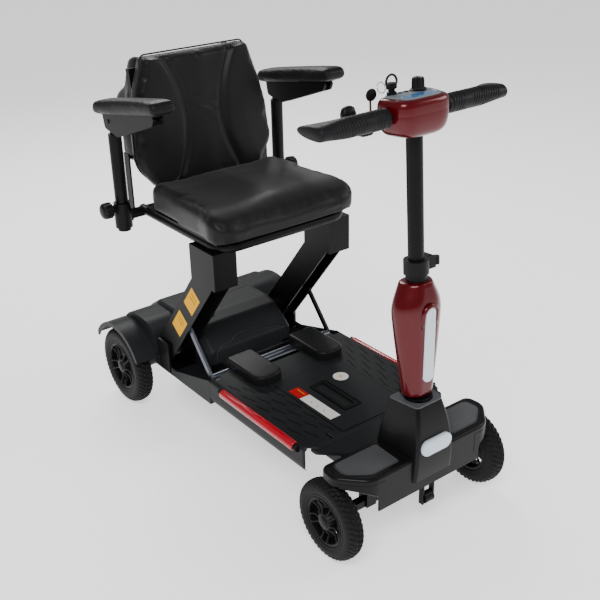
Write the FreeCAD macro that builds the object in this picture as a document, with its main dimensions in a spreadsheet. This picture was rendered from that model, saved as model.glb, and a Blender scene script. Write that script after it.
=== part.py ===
import FreeCAD, Part

import math
import os
import re

# Folding four-wheel electric mobility scooter.
# Frame: +Z up, the scooter drives towards -Y, +X is the rider's left-hand side.
# The origin lies on the ground, under the middle of the overall box. All sizes are in millimetres.

os.makedirs("parts", exist_ok=True)
doc = FreeCAD.newDocument("folding_scooter")
sheet = doc.addObject("Spreadsheet::Sheet", "Sizes")

SIZES = {
    # wheels
    "rear_axle_place": 394,
    "rear_wheel_radius": 100,
    "rear_wheel_middle": 222,
    "rear_wheel_width": 44,
    "front_axle_place": -402,
    "front_wheel_radius": 87,
    "front_wheel_middle": 202,
    "front_wheel_width": 40,
    "axle_radius": 8,
    "running_gap": 0.05,
    # deck and chassis
    "deck_half": 192,
    "deck_front": -322,
    "deck_rear": 48,
    "deck_top": 198,
    "deck_sheet": 3,
    "skirt_bottom": 132,
    "tray_rear": 300,
    "rail_middle": 105,
    "rail_size": 25,
    "rail_bottom": 136,
    "rail_front": -415,
    "rail_rear": 385,
    "bay_half": 92.5,
    "bay_front": -309,
    "bay_rear": -64,
    # seat lift
    "arm_pivot_place": 250,
    "arm_pivot_height": 196,
    "arm_reach_back": 194,
    "arm_reach_up": 244,
    "arm_half_width": 33,
    "arm_inner": 133,
    "arm_outer": 184.5,
    "arm_sheet": 3,
    "base_shaft_radius": 10,
    "top_pin_radius": 6,
    "strut_pivot_place": 64,
    "strut_pivot_height": 187,
    "strut_reach_back": 96,
    "strut_reach_up": 113,
    "strut_inner": 171,
    "strut_thick": 6,
    "strut_half_width": 6,
    # seat
    "bracket_inner": 129,
    "bracket_outer": 188.5,
    "bracket_front": 2,
    "bracket_rear": 98,
    "bracket_bottom": 434,
    "seat_tube_height": 530,
    "seat_tube_radius": 11,
    "seat_tube_half": 170,
    "seat_frame_front": -8,
    "seat_frame_rear": 331,
    "cushion_half": 194,
    "cushion_front": -30,
    "cushion_rear": 286,
    "cushion_bottom": 545.5,
    "cushion_top": 605,
    # backrest
    "back_hinge_place": 341,
    "back_hinge_height": 655,
    "back_recline": 6.5,
    # armrests
    "post_middle": 225,
    "post_place": 325,
    "post_radius": 15,
    "post_bottom": 492,
    "post_top": 732,
    "armrest_pivot_height": 752,
    "armrest_rise": 10,
    # steering column, measured along its own axis from the fold hinge plane
    "column_rake": 3.67,
    "column_foot_place": -430.6,
    "column_foot_height": 314,
    "stem_radius": 15.5,
    "fold_pin_offset": 26,
    "steering_shaft_radius": 13,
    "kingpin_place": 170,
    "kingpin_radius": 6,
}

for row, (alias, value) in enumerate(SIZES.items(), start=1):
    sheet.set(f"A{row}", alias)
    sheet.set(f"B{row}", str(value))
    sheet.setAlias(f"B{row}", alias)
doc.recompute()

V = FreeCAD.Vector
TURN_TO_X = FreeCAD.Rotation(V(0, 1, 0), 90)
TURN_TO_Y = FreeCAD.Rotation(V(1, 0, 0), -90)
TURN_TO = {"x": TURN_TO_X, "y": TURN_TO_Y, "z": FreeCAD.Rotation()}


def mm(alias):
    """One size from the sheet, as a number."""
    return float(sheet.get(alias))


def formula(text):
    """A formula of sheet names, written the way the document's expressions want it."""
    return re.sub(r"[a-z_]{3,}", lambda word: "Sizes." + word.group() if word.group() in SIZES else word.group(),
                  str(text))


def bind(thing, **formulas):
    for name, text in formulas.items():
        thing.setExpression(name, formula(text))


def put_at(thing, place, rotation=None):
    """Place an object at a point of three formulas, with an optional fixed rotation."""
    if rotation is not None:
        thing.Placement = FreeCAD.Placement(V(0, 0, 0), rotation)
    for axis, text in zip("xyz", place):
        thing.setExpression(f"Placement.Base.{axis}", formula(text))


def box(name, low, high):
    """A box between two corners given as formulas."""
    thing = doc.addObject("Part::Box", name)
    bind(thing, **{side: f"({b}) - ({a})" for side, a, b in zip(("Length", "Width", "Height"), low, high)})
    put_at(thing, low)
    return thing


def rod(name, along, centre, radius, start, end, angle=None):
    """A cylinder along x, y or z. centre holds the formulas of the other two coordinates, in order."""
    thing = doc.addObject("Part::Cylinder", name)
    bind(thing, Radius=radius, Height=f"({end}) - ({start})")
    place = list(centre)
    place.insert("xyz".index(along), start)
    put_at(thing, place, TURN_TO[along])
    if angle:
        bind(thing, Angle=angle)
    return thing


def fuse(name, *pieces):
    thing = doc.addObject("Part::MultiFuse", name)
    thing.Shapes = list(pieces)
    thing.Refine = True
    return thing


def cut(name, base, *tools):
    tool = tools[0] if len(tools) == 1 else fuse(name + "_tools", *tools)
    thing = doc.addObject("Part::Cut", name)
    thing.Base = base
    thing.Tool = tool
    thing.Refine = True
    return thing


def rounded(name, base, radius, chosen):
    """A fillet on the edges for which chosen(edge) is true."""
    doc.recompute()
    thing = doc.addObject("Part::Fillet", name)
    thing.Base = base
    numbers = [n for n, edge in enumerate(base.Shape.Edges, start=1) if chosen(edge)]
    thing.Edges = [(n, radius, radius) for n in numbers]
    return thing


def runs_along(edge, direction, limit=0.99):
    """True for a straight edge along a direction."""
    if edge.Degenerated or edge.Curve.TypeId != "Part::GeomLine":
        return False
    return abs(edge.tangentAt(edge.FirstParameter).dot(V(*direction))) > limit


def outline_edges(points, radii=None):
    """Line and arc edges of a closed flat outline whose corners have the given radii."""
    count = len(points)
    radii = radii or [0] * count
    corners = []
    for n, here in enumerate(points):
        before, after = points[n - 1], points[(n + 1) % count]
        to_before = (before - here).normalize()
        to_after = (after - here).normalize()
        if radii[n] <= 0:
            corners.append((here, None, here))
            continue
        half = to_before.getAngle(to_after) / 2
        back = radii[n] / math.tan(half)
        middle = here + (to_before + to_after).normalize() * (radii[n] / math.sin(half))
        top = middle + (here - middle).normalize() * radii[n]
        corners.append((here + to_before * back, top, here + to_after * back))
    edges = []
    for n, (first, top, last) in enumerate(corners):
        if top is not None:
            edges.append(Part.Arc(first, top, last))
        following = corners[(n + 1) % count][0]
        if last.distanceToPoint(following) > 1e-6:
            edges.append(Part.LineSegment(last, following))
    return edges


def new_body(label):
    return doc.addObject("PartDesign::Body", label)


def new_sketch(body, role, name, place=None):
    """A sketch on one of the body's own origin planes."""
    sketch = body.newObject("Sketcher::SketchObject", name)
    plane = next(item for item in body.Origin.OriginFeatures if item.Role == role)
    sketch.AttachmentSupport = [(plane, "")]
    sketch.MapMode = "FlatFace"
    if place is not None:
        sketch.AttachmentOffset = FreeCAD.Placement(V(0, 0, place), FreeCAD.Rotation())
    return sketch


def draw(sketch, points, radii=None):
    """Draw a closed outline, with points as (u, v) pairs of the sketch plane."""
    for edge in outline_edges([V(u, v, 0) for u, v in points], radii):
        sketch.addGeometry(edge, False)
    return sketch


def ring(sketch, centre, radius):
    sketch.addGeometry(Part.Circle(V(centre[0], centre[1], 0), V(0, 0, 1), radius), False)
    return sketch


def pad(body, sketch, length, both_ways=False):
    feature = body.newObject("PartDesign::Pad", sketch.Name + "_pad")
    feature.Profile = sketch
    feature.Midplane = both_ways
    bind(feature, Length=length)
    doc.recompute()
    return feature


def pocket(body, sketch, length, both_ways=False, turned=False):
    before = body.Shape.Volume
    feature = body.newObject("PartDesign::Pocket", sketch.Name + "_pocket")
    feature.Profile = sketch
    feature.Midplane = both_ways
    feature.Reversed = turned
    bind(feature, Length=length)
    doc.recompute()
    if body.Shape.Volume > before - 1e-3:
        raise ValueError(f"{feature.Name} takes nothing away")
    return feature


def round_edges(body, radius, chosen):
    tip = body.Tip
    feature = body.newObject("PartDesign::Fillet", body.Name + f"_round_{len(body.Group)}")
    names = [f"Edge{n}" for n, edge in enumerate(tip.Shape.Edges, start=1) if chosen(edge)]
    feature.Base = (tip, names)
    feature.Radius = radius
    doc.recompute()
    return feature


def revolve(body, sketch, angle=360):
    """Turn a sketch about the body's own X axis."""
    feature = body.newObject("PartDesign::Revolution", sketch.Name + "_turn")
    feature.Profile = sketch
    axis = next(item for item in body.Origin.OriginFeatures if item.Role == "X_Axis")
    feature.ReferenceAxis = (axis, [""])
    feature.Angle = angle
    doc.recompute()
    return feature


def loft(body, sketches, ruled=False):
    feature = body.newObject("PartDesign::AdditiveLoft", sketches[0].Name + "_loft")
    feature.Profile = sketches[0]
    feature.Sections = sketches[1:]
    feature.Ruled = ruled
    doc.recompute()
    return feature


def mirrored(label, source):
    """The same sub-part on the other side of the middle plane."""
    doc.recompute()
    thing = doc.addObject("Part::Mirroring", label)
    thing.Source = source
    thing.Base = V(0, 0, 0)
    thing.Normal = V(1, 0, 0)
    return thing


kept = {}
RAIL_SLOTS = (("-rail_middle - 13.5", "-rail_middle + 13.5"), ("rail_middle - 13.5", "rail_middle + 13.5"))


def keep(label, thing):
    """Name a finished sub-part."""
    thing.Label = label
    kept[label] = thing
    return thing


def keep_pair(name, left):
    """A sub-part on the +X side and its mirror image."""
    keep(name + "_left", left)
    keep(name + "_right", mirrored(name + "_mirror", left))


def side_plate(label, points, radii, inner, outer):
    """A flat piece whose outline lies in the side view, between two distances from the middle plane."""
    body = new_body(label)
    sketch = draw(new_sketch(body, "YZ_Plane", label + "_outline"), points, radii)
    pad(body, sketch, f"({outer}) - ({inner})")
    put_at(body, (inner, "0", "0"))
    return body


def chassis():
    """Welded rails, cross members, front axle beam and the cheeks that hold the lift arms."""
    half = "rail_size / 2"
    pieces = []
    for side in ("-1", "1"):
        middle = f"{side} * rail_middle"
        pieces.append(box("rail", (f"{middle} - {half}", "rail_front", "rail_bottom"),
                          (f"{middle} + {half}", "rail_rear", "rail_bottom + rail_size")))
        pieces.append(box("beam_post", (f"{middle} - {half}", "front_axle_place - 13", "78"),
                          (f"{middle} + {half}", "front_axle_place + 13", "rail_bottom + 2")))
        pieces.append(box("axle_drop", (f"{middle} - {half}", "rear_axle_place - 20", "100"),
                          (f"{middle} + {half}", "rail_rear", "rail_bottom + 2")))
        pieces.append(rod("king_boss", "z", (f"{side} * kingpin_place", "front_axle_place"), "11", "78",
                          "98"))
    pieces.append(box("front_beam_bar", ("-kingpin_place", "front_axle_place - 9", "80"),
                      ("kingpin_place", "front_axle_place + 9", "96")))
    for place in ("rail_front", "-40", "130", "300"):
        pieces.append(box("cross_bar", ("-rail_middle", place, "rail_bottom"),
                          ("rail_middle", f"{place} + 16", "rail_bottom + 4")))
    pieces.append(box("cheek_bar", ("-189", "228", "rail_bottom + 2"), ("189", "250", "rail_bottom + 14")))
    for low, high in (("-194", "-188.5"), ("-128", "-122.5"), ("122.5", "128"), ("188.5", "194")):
        pieces.append(box("cheek", (low, "arm_pivot_place - 24", "rail_bottom + 2"),
                          (high, "arm_pivot_place + 24", "arm_pivot_height + 18")))
    for side in ("-1", "1"):
        pieces.append(box("shaft_block",
                          (f"{side} * rail_middle - 10", "strut_pivot_place - 16", "rail_bottom + 20"),
                          (f"{side} * rail_middle + 10", "strut_pivot_place + 16",
                           "strut_pivot_height + 10")))
    pieces.append(rod("stay_rod", "x", ("84", "192"), "5", "-112", "112"))
    for side in ("-1", "1"):
        pieces.append(box("stay_lug", (f"{side} * 112 - 4", "78", "rail_bottom + 20"),
                          (f"{side} * 112 + 4", "90", "197")))
        pieces.append(box("roller_cheek", (f"{side} * 14 - 2", "-472", "70"),
                          (f"{side} * 14 + 2", "-460", "rail_bottom + 4")))
    pieces.append(rod("roller_pin", "x", ("-467", "83"), "3", "-14", "14"))
    pieces.append(box("steering_plate", ("-88", "-470", "rail_bottom"), ("88", "rail_front + 1", "142")))
    frame = fuse("frame_welded", *pieces)
    bores = [rod("base_bore", "x", ("arm_pivot_place", "arm_pivot_height"), "base_shaft_radius + running_gap",
                 "-200", "200"),
             rod("strut_bore", "x", ("strut_pivot_place", "strut_pivot_height"),
                 "base_shaft_radius + running_gap",
                 "-120", "120")]
    for side in ("-1", "1"):
        bores.append(rod("king_bore", "z", (f"{side} * kingpin_place", "front_axle_place"),
                         "kingpin_radius + running_gap", "70", "110"))
    steering = doc.addObject("Part::Cylinder", "steering_bore")
    bind(steering, Radius="steering_shaft_radius + 3", Height="120")
    steering.Placement = on_column(-220).multiply(FreeCAD.Placement())
    keep("chassis_frame", cut("chassis_frame_shape", frame, steering, *bores))


def on_column(height, across=0, forward=0):
    """A placement on the steering column's raked axis, height above the fold hinge plane."""
    rake = FreeCAD.Rotation(V(1, 0, 0), -mm("column_rake"))
    foot = V(0, mm("column_foot_place"), mm("column_foot_height"))
    return FreeCAD.Placement(foot + rake.multVec(V(across, -forward, height)), rake)


def deck():
    """The moulded floor with its rounded skirts, the battery opening, the well and the strut notches."""
    body = new_body("deck_panel")
    plan = draw(new_sketch(body, "XY_Plane", "deck_plan"),
                [(-mm("deck_half"), mm("deck_rear")), (-mm("deck_half"), mm("deck_front") + 20),
                 (-168, mm("deck_front")),
                 (168, mm("deck_front")), (mm("deck_half"), mm("deck_front") + 20),
                 (mm("deck_half"), mm("deck_rear"))],
                [0, 8, 8, 8, 8, 0])
    pad(body, plan, "deck_top - skirt_bottom")
    round_edges(body, 9, lambda e: runs_along(e, (0, 1, 0)) and e.CenterOfMass.z > 60)
    round_edges(body, 22, lambda e: runs_along(e, (0, 1, 0)) and e.CenterOfMass.z < 1)
    hollow = draw(new_sketch(body, "XZ_Plane", "deck_hollow"),
                  [(-188.5, 14), (-176, -2), (176, -2), (188.5, 14), (188.5, 56), (184, 63), (-184, 63),
                   (-188.5, 56)])
    pocket(body, hollow, "900", both_ways=True)
    openings = new_sketch(body, "XY_Plane", "deck_openings")
    draw(openings, [(-mm("bay_half"), mm("bay_front")), (mm("bay_half"), mm("bay_front")),
                    (mm("bay_half"), mm("bay_rear")), (-mm("bay_half"), mm("bay_rear"))], [5] * 4)
    draw(openings, [(-52, 20), (52, 20), (52, 60), (-52, 60)])
    for side in (-1, 1):
        draw(openings, [(side * 165, 34), (side * 184, 34), (side * 184, 60), (side * 165, 60)])
        draw(openings, [(side * 118, -316), (side * 126, -316), (side * 126, -288), (side * 118, -288)],
             [3] * 4)
    pocket(body, openings, "400", turned=True, both_ways=True)
    put_at(body, ("0", "0", "skirt_bottom"))
    apron = new_body("deck_apron")
    front = mm("deck_front")
    pad(apron, draw(new_sketch(apron, "XY_Plane", "apron_plan"),
                    [(-178, front + 12), (-178, front - 4), (-128, -372.5), (128, -372.5), (178, front - 4),
                     (178, front + 12)], [0, 10, 10, 10, 10, 0]), "7")
    put_at(apron, ("0", "0", "deck_top - 10"))
    keep("deck_panel", fuse("deck_panel_shape", body, apron))

    floor = box("tray_floor", ("-deck_half + 1", "deck_rear + 0.5", "skirt_bottom"),
                ("deck_half - 1", "tray_rear", "skirt_bottom + 3.5"))
    walls = [side_plate("tray_wall", [(mm("deck_rear") + 0.5, 132), (mm("tray_rear"), 132),
                                      (mm("tray_rear"), 152),
                                      (200, 152), (mm("deck_rear") + 0.5, 194)], [0, 4, 4, 10, 0], low, high)
             for low, high in (("-deck_half", "-deck_half + 2.8"), ("deck_half - 2.8", "deck_half"))]
    cheek_slots = [box("cheek_slot", (low, "arm_pivot_place - 26", "skirt_bottom + 4"),
                       (high, "arm_pivot_place + 26", "220")) for low,
                       high in (("-196", "-186"), ("186", "196"))]
    keep("rear_tray", cut("rear_tray_shape", fuse("tray_joined", floor, *walls), *cheek_slots))

    strips = [rod("strip_bar", "y", (f"{side} * (deck_half + 0.2)", "deck_top - 10"), "8.5", "-280", "-5")
              for side in ("-1", "1")]
    inside = box("strip_cutter", ("-deck_half - 0.2", "-290", "160"), ("deck_half + 0.2", "10", "220"))
    keep("side_strips", cut("side_strips_shape", fuse("strips_joined", *strips), inside))

    pods = []
    for name, sign in (("left", 1), ("right", -1)):
        pod = new_body(f"shaft_cover_{name}")
        sketch = draw(new_sketch(pod, "XY_Plane", f"cover_plan_{name}"),
                      [(sign * 54, 76), (sign * 54, -60), (sign * 126, -60), (sign * 126, 76)],
                      [10, 26, 26, 10])
        pad(pod, sketch, "23")
        round_edges(pod, 6, lambda e: e.BoundBox.ZMin > 22)
        under = draw(new_sketch(pod, "XZ_Plane", f"cover_under_{name}"),
                     [(sign * 58, -1), (sign * 122, -1), (sign * 122, 17), (sign * 58, 17)])
        under.AttachmentOffset = FreeCAD.Placement(V(0, 0, -20), FreeCAD.Rotation())
        pocket(pod, under, "80", both_ways=True)
        put_at(pod, ("0", "0", "deck_top + 0.3"))
        pods.append(pod)
    keep("shaft_covers", fuse("shaft_covers_shape", *pods))


def battery():
    """The lift-out battery: case, lid plate set flush in the deck, and its folding handle."""
    case = new_body("battery_case")
    sketch = draw(new_sketch(case, "XY_Plane", "case_plan"),
                  [(-86, -300), (86, -300), (86, -72), (-86, -72)], [10] * 4)
    pad(case, sketch, "deck_top - 4.5 - (rail_bottom + 6)")
    put_at(case, ("0", "0", "rail_bottom + 6"))
    keep("battery_case", case)
    lid = new_body("battery_lid")
    plan = draw(new_sketch(lid, "XY_Plane", "lid_plan"),
                [(-mm("bay_half") + 1.2, mm("bay_front") + 1.2),
                 (mm("bay_half") - 1.2, mm("bay_front") + 1.2),
                 (mm("bay_half") - 1.2, mm("bay_rear") - 1.2),
                 (-mm("bay_half") + 1.2, mm("bay_rear") - 1.2)], [5] * 4)
    pad(lid, plan, "5.5")
    recess = draw(new_sketch(lid, "XY_Plane", "handle_recess"),
                  [(-38, -252), (12, -252), (12, -122), (-38, -122)], [6] * 4)
    recess.AttachmentOffset = FreeCAD.Placement(V(0, 0, 1.5), FreeCAD.Rotation())
    pocket(lid, recess, "10", turned=True)
    put_at(lid, ("0", "0", "deck_top - 4.5"))
    keep("battery_lid", lid)
    handle = new_body("battery_handle")
    bow = draw(new_sketch(handle, "XY_Plane", "handle_bow"),
               [(-34, -248), (8, -248), (8, -126), (0, -126), (0, -238), (-26, -238), (-26, -126),
                (-34, -126)],
               [5, 5, 0, 0, 3, 3, 0, 0])
    pad(handle, bow, "3.4")
    put_at(handle, ("0", "0", "deck_top - 2.8"))
    pin = rod("handle_pin", "x", ("-126.5", "deck_top - 1.1"), "1.7", "-34", "8")
    keep("battery_handle", fuse("battery_handle_shape", handle, pin))


def hump_profile(inset):
    """The rear cover in side view, from the foot of its front face round to the tail."""
    points = [(146, 136.5), (150, 196), (206, 243), (246, 251), (400, 248), (452, 214), (484, 160),
              (484, 136.5)]
    if not inset:
        return points
    return [(149.5, 130), (153.5, 194), (208, 239.5), (246, 247), (399, 244), (449, 211.5), (480.5, 158),
            (480.5, 130)]


def rear():
    """The charcoal rear cover, the fenders, the drive unit and what sits under the cover."""
    shells = []
    for inset, half, cross in ((0, 121.5, 192.8), (1, 118, 189.3)):
        hump = new_body(f"hump_{inset}")
        pad(hump, draw(new_sketch(hump, "YZ_Plane", f"hump_side_{inset}"), hump_profile(inset),
                       [0, 12, 20, 60, 40, 30, 20, 0]), str(2 * half), both_ways=True)
        round_edges(hump, 16 - 3 * inset,
                    lambda e: abs(abs(e.CenterOfMass.x) - half) < 0.5 and e.CenterOfMass.z > 150)
        bridge = new_body(f"bridge_{inset}")
        top = 238 - 3.5 * inset
        pad(bridge, draw(new_sketch(bridge, "YZ_Plane", f"bridge_side_{inset}"),
                         [(288 + 3.5 * inset, 165 - 10 * inset), (292 + 3.5 * inset, top - 20), (330, top),
                          (410, top), (462 - 3.5 * inset, top - 48), (474 - 3.5 * inset, 165 - 10 * inset)],
                         [0, 24, 60, 60, 30, 0]), str(2 * cross), both_ways=True)
        shells.append(fuse(f"cover_solid_{inset}", hump, bridge))
    shaft_way = box("shaft_way", ("-126", "arm_pivot_place - 25", "130"),
                    ("126", "arm_pivot_place + 25", "222"))
    shaft_room = box("shaft_room", ("-115", "arm_pivot_place - 60", "120"),
                     ("115", "arm_pivot_place + 60", "223"))
    side_ways = cut("side_ways", shaft_way, shaft_room)
    rail_ways = [box("rail_way", (low, "140", "130"), (high, "166", "162.5")) for low, high in RAIL_SLOTS]
    cover = cut("rear_cover_shape", shells[0], shells[1], side_ways, *rail_ways)
    keep("rear_cover", cover)

    axle = ("rear_axle_place", "rear_wheel_radius")
    outer = rod("fender_outer", "x", axle, "rear_wheel_radius + 20", "193", "250")
    inner = rod("fender_inner", "x", axle, "rear_wheel_radius + 16.5", "196.5", "246.5")
    open_side = rod("fender_mouth", "x", axle, "rear_wheel_radius + 9", "240", "260")
    open_inside = rod("fender_inside", "x", axle, "rear_wheel_radius - 28", "190", "210")
    below = box("fender_below", ("190", "200", "-30"), ("260", "600", "rear_wheel_radius + 54"))
    behind = box("fender_behind", ("180", "rear_axle_place + rear_wheel_radius", "0"), ("260", "600", "300"))
    fender = cut("fender_shape", outer, inner, open_side, open_inside, below, behind)
    keep("fenders", fuse("fenders_shape", fender, mirrored("fender_mirror", fender)))

    case = fuse("drive_joined",
                rod("axle_tube", "x", axle, "24", "-188", "188"),
                rod("gear_case", "x", axle, "48", "-34", "34"),
                rod("motor_can", "y", ("0", "rear_wheel_radius"), "31", "228", "rear_axle_place"),
                rod("motor_brake", "y", ("0", "rear_wheel_radius"), "26", "206", "229"),
                rod("shaft_left", "x", axle, "axle_radius", "180", "239"),
                rod("shaft_right", "x", axle, "axle_radius", "-239", "-180"))
    keep("drive_unit", cut("drive_shape", case,
                           box("drive_rail_left", ("92", "200", "99"), ("118", "500", "170")),
                           box("drive_rail_right", ("-118", "200", "99"), ("-92", "500", "170"))))
    keep("motor_controller", box("controller_case", ("-55", "300", "162"), ("55", "372", "198")))


def wheels():
    """Tyres, rims and hub caps. Each wheel body is turned about its own X axis."""
    for name, axle, radius, width, middle, bore in (
            ("rear", "rear_axle_place", "rear_wheel_radius", "rear_wheel_width", "rear_wheel_middle",
             "axle_radius"),
            ("front", "front_axle_place", "front_wheel_radius", "front_wheel_width", "front_wheel_middle",
             "axle_radius")):
        size, half = mm(radius), mm(width) / 2
        bead = 0.61 * size
        tyre = new_body(f"{name}_tyre_left")
        revolve(tyre, draw(new_sketch(tyre, "XY_Plane", f"{name}_tyre_section"),
                           [(-half, bead), (half, bead), (half, size), (-half, size)], [3, 3, 15, 15]))
        rim = new_body(f"{name}_rim_left")
        hole = mm(bore) + mm("running_gap")
        revolve(rim, draw(new_sketch(rim, "XY_Plane", f"{name}_rim_section"),
                          [(-half + 3, bead), (-half + 3, bead - 6), (-4, bead - 7), (-4, 24),
                           (-half + 6, 20),
                           (-half + 6, hole), (half - 4, hole), (half - 4, 0), (half + 0.8, 0), (half, 12),
                           (half - 2, 18), (half - 6, 20), (4, 24), (4, bead - 7),
                           (half - 3, bead - 6), (half - 3, bead)]))
        window = new_sketch(rim, "YZ_Plane", f"{name}_window")
        low, high = 27, bead - 10
        draw(window, [(low * math.tan(0.30), low), (high * math.tan(0.46), high),
                      (-high * math.tan(0.46), high),
                      (-low * math.tan(0.30), low)], [2, 5, 5, 2])
        cutter = pocket(rim, window, "60", both_ways=True)
        pattern = rim.newObject("PartDesign::PolarPattern", f"{name}_windows")
        pattern.Originals = [cutter]
        turn_axis = next(item for item in rim.Origin.OriginFeatures if item.Role == "X_Axis")
        pattern.Axis = (turn_axis, [""])
        pattern.Angle = 360
        pattern.Occurrences = 5
        rim.Tip = pattern
        for label, body in ((f"{name}_tyre", tyre), (f"{name}_rim", rim)):
            put_at(body, (middle, axle, radius))
            keep_pair(label, body)


def front_knuckle():
    """The steered upright: kingpin, clevis plates, stub axle and steering arm."""
    king = ("kingpin_place", "front_axle_place")
    pieces = [rod("kingpin", "z", king, "kingpin_radius", "72", "106"),
              rod("clevis_low", "z", king, "11", "70", "77.6"),
              rod("clevis_high", "z", king, "11", "98.4", "106"),
              box("upright", ("kingpin_place + 11.4", "front_axle_place - 11", "70"),
                  ("kingpin_place + 16.5", "front_axle_place + 11", "106")),
              box("bridge_low", ("kingpin_place", "front_axle_place - 11", "70"),
                  ("kingpin_place + 14", "front_axle_place + 11", "77.6")),
              box("bridge_high", ("kingpin_place", "front_axle_place - 11", "98.4"),
                  ("kingpin_place + 14", "front_axle_place + 11", "106")),
              rod("stub_axle", "x", ("front_axle_place", "front_wheel_radius"), "axle_radius",
                  "kingpin_place + 12", "217"),
              box("steer_arm", ("kingpin_place - 7", "front_axle_place", "101"),
                  ("kingpin_place + 7", "front_axle_place + 52", "106"))]
    keep_pair("knuckle", fuse("knuckle_shape", *pieces))
    tie = fuse("tie_rod_shape",
               rod("tie_bar", "x", ("front_axle_place + 45", "112"), "4.5", "-kingpin_place - 6",
                   "kingpin_place + 6"),
               box("tie_tab", ("-10", "front_axle_place - 8", "109"), ("10", "front_axle_place + 45", "113")))
    keep("tie_rod", tie)


def front_cover():
    """The wing-shaped front cover with its pedestal, wheel arches, foot pads, ring and headlight."""
    shells = []
    for inset in (0, 1):
        edge = 3.5 * inset
        wing = new_body(f"wing_{inset}")
        sketch = draw(new_sketch(wing, "XY_Plane", f"wing_plan_{inset}"),
                      [(-207 + edge, -374 - edge), (-212 + edge, -420 + edge), (-160, -476 + edge),
                       (160, -476 + edge),
                       (212 - edge, -420 + edge), (207 - edge, -374 - edge)],
                      [20 - edge, 36 - edge, 44, 44, 36 - edge, 20 - edge])
        pad(wing, sketch, "81" if not inset else "77.5")
        round_edges(wing, 7 - 3 * inset, lambda e: e.BoundBox.ZMin > 70)
        put_at(wing, ("0", "0", "119"))
        tower = new_body(f"tower_{inset}")
        floors = []
        for number, (height, half, front,
                     back) in enumerate(((0, 64, -482, -376), (75, 60, -484.5, -381), (159, 46, -466, -396))):
            flat = new_sketch(tower, "XY_Plane", f"tower_{inset}_{number}",
                              height + (0 if not inset else (number - 1) * -3.5 if number else -4))
            draw(flat, [(-half + edge, back - edge), (-half + 12 + edge, front + edge),
                        (half - 12 - edge, front + edge),
                        (half - edge, back - edge)], [4, 8, 8, 4])
            floors.append(flat)
        loft(tower, floors)
        put_at(tower, ("0", "0", "146"))
        shells.append(fuse(f"front_solid_{inset}", wing, tower))
    opening = doc.addObject("Part::Cylinder", "ring_opening")
    bind(opening, Radius="stem_radius + 13.5", Height="40")
    opening.Placement = on_column(-34)
    arches = []
    for side in ("-1", "1"):
        arches.append(rod("arch_round", "y", (f"{side} * 178", "141"), "38", "-520", "-300"))
        arches.append(box("arch_low", (f"{side} * 178 - 38", "-520", "100"),
                          (f"{side} * 178 + 38", "-300", "141")))
        arches.append(box("arch_tip", (f"{side} * 200 - 22", "-520", "100"),
                          (f"{side} * 200 + 22", "-300", "179")))
    rail_ways = [box("front_rail_way", (low, "-392", "110"), (high, "-368", "162.5")) for low,
                 high in RAIL_SLOTS]
    keep("front_cover", cut("front_cover_shape", shells[0], shells[1], opening, *arches, *rail_ways))
    pads = []
    for sign in (-1, 1):
        body = new_body("foot_pad")
        sketch = draw(new_sketch(body, "XY_Plane", body.Name + "_plan"),
                      [(sign * 74, -390), (sign * 76, -458), (sign * 146, -458), (sign * 188, -424),
                       (sign * 184, -390)],
                      [5, 5, 30, 24, 12])
        pad(body, sketch, "1.2")
        put_at(body, ("0", "0", "200.1"))
        pads.append(body)
    keep("foot_pads", fuse("foot_pads_shape", *pads))
    ring_body = new_body("pedestal_ring")
    flat = new_sketch(ring_body, "XY_Plane", "ring_plan")
    draw(flat, [(-46, -396), (-35, -466), (35, -466), (46, -396)], [4, 10, 10, 4])
    ring(flat, (0, mm("column_foot_place")), 29.5)
    pad(ring_body, flat, "3")
    put_at(ring_body, ("0", "0", "305.2"))
    keep("pedestal_ring", ring_body)
    lens = new_body("headlight_lens")
    shape = draw(new_sketch(lens, "XZ_Plane", "headlight_outline"),
                 [(-40, -17), (40, -17), (40, 17), (-40, 17)], [16.9] * 4)
    pad(lens, shape, "8.5")
    round_edges(lens, 2.5, lambda e: e.BoundBox.YMax < -8.4)
    put_at(lens, ("0", "-485.5", "222"))
    keep("headlight_lens", lens)
    keep("front_roller", cut("front_roller_shape", rod("roller_drum", "x", ("-467", "83"), "12", "-11", "11"),
                             rod("roller_hole", "x", ("-467", "83"), "3 + running_gap", "-12", "12")))


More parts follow.
